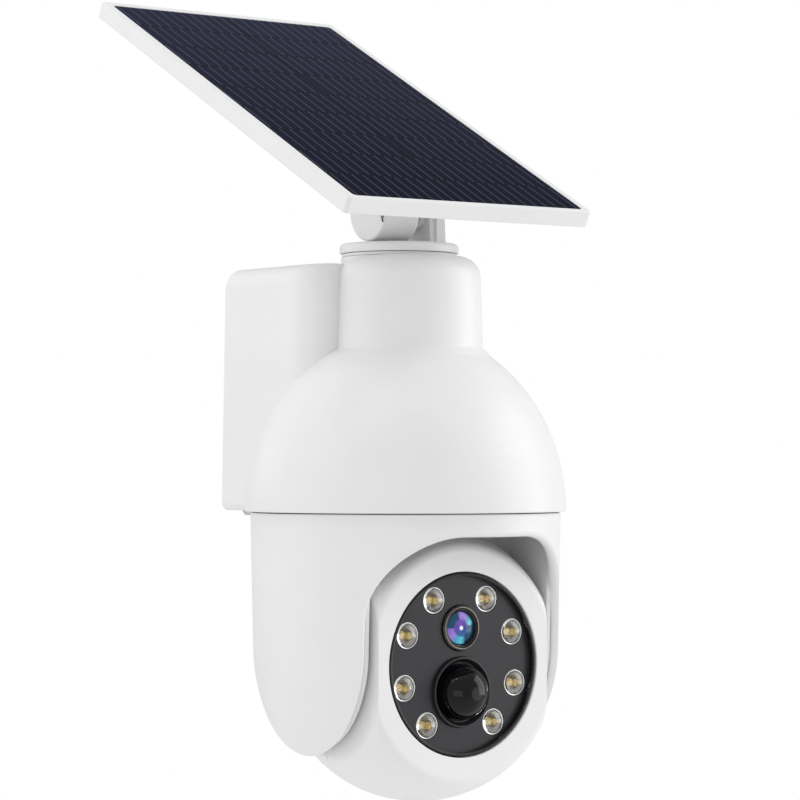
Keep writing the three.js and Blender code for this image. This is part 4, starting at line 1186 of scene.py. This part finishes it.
class CAMERA_OT_lights(Operator):
    """Eight lights: clear lens, bright ring, reflector cup and phosphor"""
    bl_idname = "solar_camera.lights"
    bl_label = "Lights"

    def execute(self, context):
        sizes = measured("camera_head")
        front = sizes.face_depth - 0.5
        radius = sizes.light_radius
        rings, cups, dice = [], [], []
        ring_profile = [(radius - 0.25, front + 0.7, 0.1), (radius + 0.15, front + 0.6, 0.15),
                        (radius + 0.28, front + 1.5, 0.1), (radius - 0.25, front + 1.5, 0.1)]
        cup_profile = [(1.5, front + 3.3), (radius - 0.5, front + 1.7), (radius - 0.05, front + 1.6),
                       (radius - 0.05, front + 3.9), (1.5, front + 3.9)]
        edge = radius - 0.35
        dome = [(0, front + 1.45, 0), (edge, front + 1.45, 0.1)]
        turn = np.linspace(0, math.pi / 2, 14)
        dome += [(edge * math.cos(t), front + 1.1 - 1.9 * math.sin(t), 0) for t in turn]
        for number, (x, z) in enumerate(light_places(sizes), 1):
            lens = piece("light_lens_%d" % number, [turned(dome, "y", (x, 0, z), 48, steps=3)], in_face,
                         FINISH["clear"], "head", ["led_lens_%d" % number])
            lens.data.shade_smooth()
            rings.append(turned(ring_profile, "y", (x, 0, z), 48, closed=True, steps=4))
            cups.append(spun(cup_profile, "y", (x, 0, z), 40, looped=True))
            for dx, dz in ((-1.15, 0.15), (1.15, -0.15)):
                outline = round_outline(1.15, 24, (x + dx, z + dz))
                dice.append(pillow(outline, front + 1.8, front + 3.2, 0.35, axis="y"))
        piece("light_rings", rings, in_face, FINISH["chrome"], "head")
        piece("light_cups", cups, in_face, FINISH["cup"], "head")
        piece("light_dice", dice, in_face, FINISH["phosphor"], "head")
        return {"FINISHED"}


class CAMERA_OT_lens(Operator):
    """Camera lens: stepped barrel, trim ring and front glass with painted reflections"""
    bl_idname = "solar_camera.lens"
    bl_label = "Lens"

    def execute(self, context):
        sizes = measured("camera_head")
        height = sizes.lens_height
        radius = sizes.lens_radius
        front = sizes.face_depth - 0.7
        centre = (0, 0, height)
        barrel = [(0, 17.3, 0), (radius, 17.3, 0.2), (radius, front, 0.25), (6.55, front, 0.1),
                  (6.45, front + 1, 0), (6.3, front + 1.05, 0), (6.2, front + 1.9, 0), (0, front + 1.9, 0)]
        piece("barrel", [turned(barrel, "y", centre, steps=3)], in_face, FINISH["satin_black"], "head",
              ["lens_barrel"])
        trim = [(radius + 0.1, front + 2.6, 0), (8.25, front + 2.6, 0), (8.25, front - 0.1, 0.3),
                (7.75, front - 0.4, 0.15), (radius + 0.1, front - 0.1, 0)]
        piece("lens_trim", [turned(trim, "y", centre, closed=True, steps=4)], in_face,
              FINISH["satin_black"], "head", ["lens_ring"])
        line = round_outline(0.2, 12, (7.45, front - 0.32))
        piece("lens_bright_line", [spun(line, "y", centre, 128, looped=True)], in_face, FINISH["bronze"],
              "head")
        t = np.linspace(0, math.pi / 2, 24)
        glass = [(0, front + 1.85)] + [(6.35 * math.cos(a), front + 1.6 - 1.5 * math.sin(a)) for a in t]
        middle = in_face(np.array([[0, front, height]]))[0]
        piece("front_glass", [spun(glass, "y", centre, 96)], in_face, lens_painted_reflections(tuple(middle)), "head",
              ["lens_glass"])
        return {"FINISHED"}


class CAMERA_OT_sensor(Operator):
    """Motion sensor: black dome in a rounded bezel"""
    bl_idname = "solar_camera.sensor"
    bl_label = "Motion sensor"

    def execute(self, context):
        sizes = measured("camera_head")
        drop, radius = -sizes.sensor_drop, sizes.sensor_radius
        recess = sizes.sensor_recess
        centre = (0, 0, drop)
        seat = 2.2
        t = np.linspace(0, math.pi / 2, 48)
        dome = [(0, 4.9), (radius, 4.9)] + [(radius * math.cos(a), seat - radius * math.sin(a)) for a in t]
        middle = in_face(np.array([[0, seat, drop]]))[0]
        piece("sensor_dome", [spun(dome, "y", centre, 128)], in_face, sensor_glass(tuple(middle)), "head",
              ["pir_lens"])
        lip = 0.8
        bezel = [(radius + 0.35, 4.4, 0), (recess, 4.4, 0), (recess, lip, 0.25), (recess - 0.6, lip, 0.2),
                 (radius + 1.0, 2.9, 0.6), (radius + 0.35, 3.0, 0.1)]
        piece("sensor_bezel", [turned(bezel, "y", centre, 128, closed=True, steps=5)], in_face,
              FINISH["face"], "head", ["pir_bezel"])
        return {"FINISHED"}


class CAMERA_OT_swivel(Operator):
    """Swivel disc with its ear and boss"""
    bl_idname = "solar_camera.swivel"
    bl_label = "Swivel"

    def execute(self, context):
        radius = measured("camera_panel").swivel_radius
        low, high = SWIVEL_LOW, SWIVEL_LOW + 3.6
        bolt, bolt_bore, bolt_end = 6.9, 4, 88
        profile = [(bolt_bore, bolt_end, 0), (bolt, bolt_end, 0.4), (bolt, low, 0), (radius, low, 0.4),
                   (radius, high, 1.5), (bolt_bore, high, 0)]
        body = turned(profile, "z", (0, SWIVEL_Y, 0), 144, closed=True)
        disc = rough_piece("swivel_turntable", [body], in_housing)
        left, right, ear = 7.6, 14.9, 8.5
        turn = np.linspace(0, math.pi, 40)
        arch = np.stack([ear * np.cos(turn), HINGE_Z + ear * np.sin(turn)], -1)
        foot = np.array([(-ear - 0.8, high - 1), (ear + 0.8, high - 1)])
        outline = np.concatenate([arch, foot]) + np.array([SWIVEL_Y, 0])
        upright = pillow(outline, left, right, 0.5, axis="x")
        join(disc, [upright], in_housing)
        at_hinge = (0, SWIVEL_Y, HINGE_Z)
        boss = [(0, 1.6, 0), (6.5, 1.6, 0.4), (6.5, left + 1, 0), (0, left + 1, 0)]
        join(disc, [turned(boss, "x", at_hinge, 64, steps=4)], in_housing)
        rib = pillow(box_outline(left + 2.2, left + 3.6, SWIVEL_Y - 9.9, SWIVEL_Y - 7, 0.4),
                     high - 1, HINGE_Z - 1, 0.3)
        join(disc, [rib], in_housing)
        bore = rod(2.7, 0, 20, "x", at_hinge, 40)
        cut(disc, [bore], in_housing)
        finished(disc, FINISH["smooth_white"], "swivel", ["swivel_disc"])
        return {"FINISHED"}


class CAMERA_OT_clamp(Operator):
    """Clamp screw: a low rounded head with a cross recess, and its shank"""
    bl_idname = "solar_camera.clamp"
    bl_label = "Clamp screw"

    def execute(self, context):
        head, thickness = 5.6, 1.8
        start = CLAMP_END - thickness
        centre = (0, SWIVEL_Y, HINGE_Z)
        line = [(0, -6.4, 0), (2.4, -6.4, 0.4), (2.4, start, 0), (head, start, 0.2),
                (head, CLAMP_END, 1.1), (0, CLAMP_END, 0)]
        screw = rough_piece("clamp_screw_body", [turned(line, "x", centre, 72)], in_housing)
        for high, wide in ((3.2, 0.7), (0.7, 3.2)):
            cutter = block(CLAMP_END - 1, CLAMP_END + 1, -wide, wide, -high, high)
            cut(screw, [moved(cutter, centre)], in_housing)
        finished(screw, FINISH["steel"], "clamp_screw", ["clamp_screw"])
        return {"FINISHED"}


class CAMERA_OT_bracket(Operator):
    """Panel bracket: screwed plate, web and knuckle"""
    bl_idname = "solar_camera.bracket"
    bl_label = "Panel bracket"

    def execute(self, context):
        sizes = measured("camera_panel")
        underside = sizes.top - sizes.thickness - 0.2
        slab = pillow(box_outline(-22, 22, -18, 18, 4), underside - 2.9, underside, 0.5)
        plate = rough_piece("bracket_moulding", [slab], in_panel)
        left, right, radius = -14.4, 1.3, 11.3
        knuckle = turned([(0, left, 0), (radius, left, 0.7), (radius, right, 0.4), (0, right, 0)],
                         "x", around=120, steps=5)
        join(plate, [knuckle], in_panel)
        web = pillow(box_outline(-radius, radius, 0, underside - 1, 0.01, 1), left, right, 0.4, axis="x")
        join(plate, [web], in_panel)
        bore = rod(4.3, -7.2, 5, "x", around=40)
        cut(plate, [bore], in_panel)
        finished(plate, FINISH["smooth_white"], "panel", ["panel_bracket"])
        head, height = 2.2, 1.2
        places = [(x, y, underside - 2.95) for y in (-13.5, 13.5) for x in (-18, 18)]
        screw = cross_screw(head, height, 1.2, 2.5)
        group = rough_piece("bracket_screws", [moved(screw, place) for place in places], in_panel)
        for cutter in cross_recess(head, height):
            cut(group, [moved(cutter, place) for place in places], in_panel)
        finished(group, FINISH["steel"], "panel")
        return {"FINISHED"}


MARGIN = {"side": 3.1, "front": 1.8, "back": 3.8, "recess": 1.6, "sheet": 1.3}


class CAMERA_OT_solar_panel(Operator):
    """Panel frame and the laminate with its cells"""
    bl_idname = "solar_camera.solar_panel"
    bl_label = "Solar panel"

    def execute(self, context):
        sizes = measured("camera_panel")
        half, front = sizes.width / 2, -sizes.front
        back = front + sizes.length
        top, low = sizes.top, sizes.top - sizes.thickness
        outline = box_outline(-half, half, front, back, sizes.corner, 10)
        tray = rough_piece("panel_tray", [pillow(outline, low, top, 0.55)], in_panel)
        x1 = half - MARGIN["side"]
        y0, y1 = front + MARGIN["front"], back - MARGIN["back"]
        recess = pillow(box_outline(-x1, x1, y0, y1, 1.8), top - MARGIN["recess"], top + 3, 0.01)
        cut(tray, [recess], in_panel)
        pocket = pillow(box_outline(-half + 4, half - 4, front + 4, back - 4, 3), low - 2, low + 0.6, 0.01)
        land = pillow(box_outline(-26, 26, -22, 22, 4), low - 3, low + 2, 0.01)
        under = rough_piece("part", [pocket], in_panel)
        cut(under, [land], in_panel)
        combine(tray, under, "DIFFERENCE")
        finished(tray, FINISH["shell"], "panel", ["panel_frame"])
        gap = 0.12
        sheet_top = top - MARGIN["recess"] + MARGIN["sheet"] + 0.15
        outline = box_outline(-x1 + gap, x1 - gap, y0 + gap, y1 - gap, 1.7)
        sheet = pillow(outline, top - MARGIN["recess"] + 0.1, sheet_top, 0.2)
        laminate = rough_piece("laminate", [sheet], in_panel)
        self.map_cells(laminate, sizes, (x1, y0, y1))
        finished(laminate, cell_finish(context.scene.camera_finishes, sizes), "panel",
                 ["solar_laminate"])
        return {"FINISHED"}

    def map_cells(self, laminate, sizes, extent):
        """A map whose first value is 0 to 2 across the panel and whose second counts rows from the front.
        Both come from each corner's own place turned back by the panel's slope."""
        x1, y0, y1 = extent
        mesh = laminate.data
        places = np.empty(len(mesh.vertices) * 3, np.float32)
        mesh.vertices.foreach_get("co", places)
        local = tilted(places.reshape(-1, 3).astype(float) / MM - PANEL_HINGE, -sizes.slope)
        corners = np.empty(len(mesh.loops), np.int32)
        mesh.loops.foreach_get("vertex_index", corners)
        across = (local[corners, 0] + x1) / x1
        along = (local[corners, 1] - y0) / (y1 - y0) * sizes.rows
        layer = mesh.uv_layers.new(name="cells")
        layer.data.foreach_set("uv", np.stack([across, along], -1).astype(np.float32).ravel())


INNER_FINISHES = {
    # The base plate and the yoke's roof get the darker grey as painted shade for the inside seen through the
    # slot.
    "inner": ["base_plate", "yoke_roof"],
    "grey_rubber": ["rim_gasket"],
    "smooth_white": ["swivel_seal"],
    "nylon": ["pan_bearing", "right_pivot_bush", "right_pivot", "swivel_nut"],
    "steel": ["pan_motor", "tilt_motor", "charging_port", "hub_retainer", "pan_output_shaft",
              "tilt_output_shaft", "card_slot", "pir_sensor"],
    "brass": ["clamp_insert"],
    "black": ["battery_holder", "wifi_antenna", "speaker", "switch_body", "power_switch", "reset_button"],
    "board": ["main_board", "sensor_board"],
    "white_board": ["led_board"],
    "cell_wrap": ["battery_cell_left", "battery_cell_middle", "battery_cell_right"],
}


class CAMERA_OT_inner_works(Operator):
    """Finishes of the inner pieces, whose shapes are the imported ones"""
    bl_idname = "solar_camera.inner_works"
    bl_label = "Inner works"

    def execute(self, context):
        for name, nodes in INNER_FINISHES.items():
            for node in nodes:
                for slot in frame["nodes"][node].material_slots:
                    slot.link = "DATA"
                    slot.material = FINISH[name]
        return {"FINISHED"}


def looking(name, data, azimuth, elevation, distance, aim):
    """A camera or light at a distance from aim, in the direction of azimuth and elevation, facing aim."""
    level = math.cos(elevation)
    direction = Vector((math.sin(azimuth) * level, -math.cos(azimuth) * level, math.sin(elevation)))
    obj = bpy.data.objects.new(name, data)
    bpy.context.scene.collection.objects.link(obj)
    obj.location = aim + direction * distance
    obj.rotation_euler = direction.to_track_quat("Z", "Y").to_euler()
    return obj


def area_light(name, towards, distance, size, strength, aim):
    """A rectangular soft light."""
    light = bpy.data.lights.new(name, "AREA")
    light.shape = "RECTANGLE"
    light.size, light.size_y = size
    light.energy = strength
    looking(name, light, *(math.radians(a) for a in towards), distance, aim)


LIGHTS = {
    "left_softbox": ((-118, 12), 1.1, (0.9, 1.3), 1.6),
    "left_rim": ((-158, 32), 1.2, (0.9, 1.3), 2.4),
    "right_softbox": ((62, 14), 1.2, (0.8, 1.2), 7.0),
    "top_softbox": ((-20, 78), 1.3, (1.0, 1.0), 1.0),
    "front_fill": ((-48, -6), 1.5, (1.0, 0.6), 1.8),
    "window_left": ((-68, 60), 1.0, (0.16, 0.30), 0.8),
    "window_right": ((-80, 44), 1.0, (0.07, 0.26), 0.2),
}


def make_world(strength):
    """An even white surrounding that is plain white where it is seen directly."""
    world = bpy.data.worlds.new("studio")
    world.use_nodes = True
    tree = world.node_tree
    background = tree.nodes["Background"]
    background.inputs["Color"].default_value = (1, 1, 1, 1)
    background.inputs["Strength"].default_value = strength
    white = tree.nodes.new("ShaderNodeBackground")
    white.inputs["Color"].default_value = (1, 1, 1, 1)
    white.inputs["Strength"].default_value = 1.0
    ray = tree.nodes.new("ShaderNodeLightPath")
    mix = tree.nodes.new("ShaderNodeMixShader")
    tree.links.new(ray.outputs["Is Camera Ray"], mix.inputs["Fac"])
    tree.links.new(background.outputs[0], mix.inputs[1])
    tree.links.new(white.outputs[0], mix.inputs[2])
    tree.links.new(mix.outputs[0], tree.nodes["World Output"].inputs["Surface"])
    bpy.context.scene.world = world


def floor_finish(radius):
    """Pale studio floor: faintly uneven white that fades out towards the floor's rim."""
    made = Shading("studio_floor")
    away = made.from_axis((0, 0, 0), "XY")[1]
    made.set(
        base_color=made.ramp(made.noise(6, 3), (0.3, (0.86, 0.86, 0.86)), (0.7, (0.9, 0.9, 0.9))),
        roughness=made.spread(made.noise(30), 0.7, 0.85),
        alpha=made.spread(away, 1.0, 0.0, radius * 0.45, radius * 0.98),
    )
    return made.material


class CAMERA_OT_stage(Operator):
    """Camera, soft lights, white surroundings and a pale floor"""
    bl_idname = "solar_camera.stage"
    bl_label = "Stage"

    def execute(self, context):
        studio = context.scene.camera_studio
        rim = Vector(RIM * MM)
        aim = rim + Vector((studio.aim_side, studio.aim_back, studio.aim_height))
        lens = bpy.data.cameras.new("studio_camera")
        lens.lens = studio.focal
        lens.sensor_width = 36
        lens.clip_start, lens.clip_end = 0.05, 20
        context.scene.camera = looking("studio_camera", lens, studio.azimuth, studio.elevation,
                                       studio.distance, aim)
        for name, (towards, distance, size, strength) in LIGHTS.items():
            area_light(name, towards, distance, size, strength, aim)
        make_world(studio.world)
        radius = 1.3
        depth = CAD_BOUNDS[0].z - studio.floor_depth
        points, faces = spun([(ring, depth) for ring in np.linspace(0, radius, 12)], around=64)
        mesh = bpy.data.meshes.new("floor")
        mesh.from_pydata(points.tolist(), [], faces)
        mesh.flip_normals()
        floor = bpy.data.objects.new("floor", mesh)
        context.scene.collection.objects.link(floor)
        mesh.materials.append(floor_finish(radius))
        context.scene.view_settings.view_transform = "Standard"
        context.scene.view_settings.look = "None"
        return {"FINISHED"}


# ---- panel and registration -----------------------------------------------------------------------

STEPS = (
    CAMERA_OT_finishes, CAMERA_OT_housing, CAMERA_OT_wall_plate, CAMERA_OT_port_flap, CAMERA_OT_yoke,
    CAMERA_OT_ball, CAMERA_OT_face, CAMERA_OT_lights, CAMERA_OT_lens, CAMERA_OT_sensor, CAMERA_OT_swivel,
    CAMERA_OT_clamp, CAMERA_OT_bracket, CAMERA_OT_solar_panel, CAMERA_OT_inner_works, CAMERA_OT_stage,
)
SETTINGS = {
    "camera_housing": HousingSizes,
    "camera_yoke": YokeSizes,
    "camera_head": HeadSizes,
    "camera_panel": PanelSizes,
    "camera_finishes": Finishes,
    "camera_studio": Studio,
}


class CAMERA_PT_sidebar(Panel):
    """Lists the steps in order"""
    bl_label = "Solar Camera"
    bl_idname = "CAMERA_PT_sidebar"
    bl_space_type = "VIEW_3D"
    bl_region_type = "UI"
    bl_category = "Solar Camera"

    def draw(self, context):
        for name in SETTINGS:
            group = getattr(context.scene, name)
            box = self.layout.box()
            for key in group.__annotations__:
                box.prop(group, key)
        for step in STEPS:
            self.layout.operator(step.bl_idname)


def register():
    for group in SETTINGS.values():
        bpy.utils.register_class(group)
    for name, group in SETTINGS.items():
        setattr(bpy.types.Scene, name, PointerProperty(type=group))
    for step in STEPS:
        bpy.utils.register_class(step)
    bpy.utils.register_class(CAMERA_PT_sidebar)


def unregister():
    bpy.utils.unregister_class(CAMERA_PT_sidebar)
    for step in reversed(STEPS):
        bpy.utils.unregister_class(step)
    for name in SETTINGS:
        delattr(bpy.types.Scene, name)
    for group in reversed(SETTINGS.values()):
        bpy.utils.unregister_class(group)


def main():
    register()
    for step in STEPS:
        group, operator = step.bl_idname.split(".")
        getattr(getattr(bpy.ops, group), operator)()


if __name__ == "__main__":
    main()
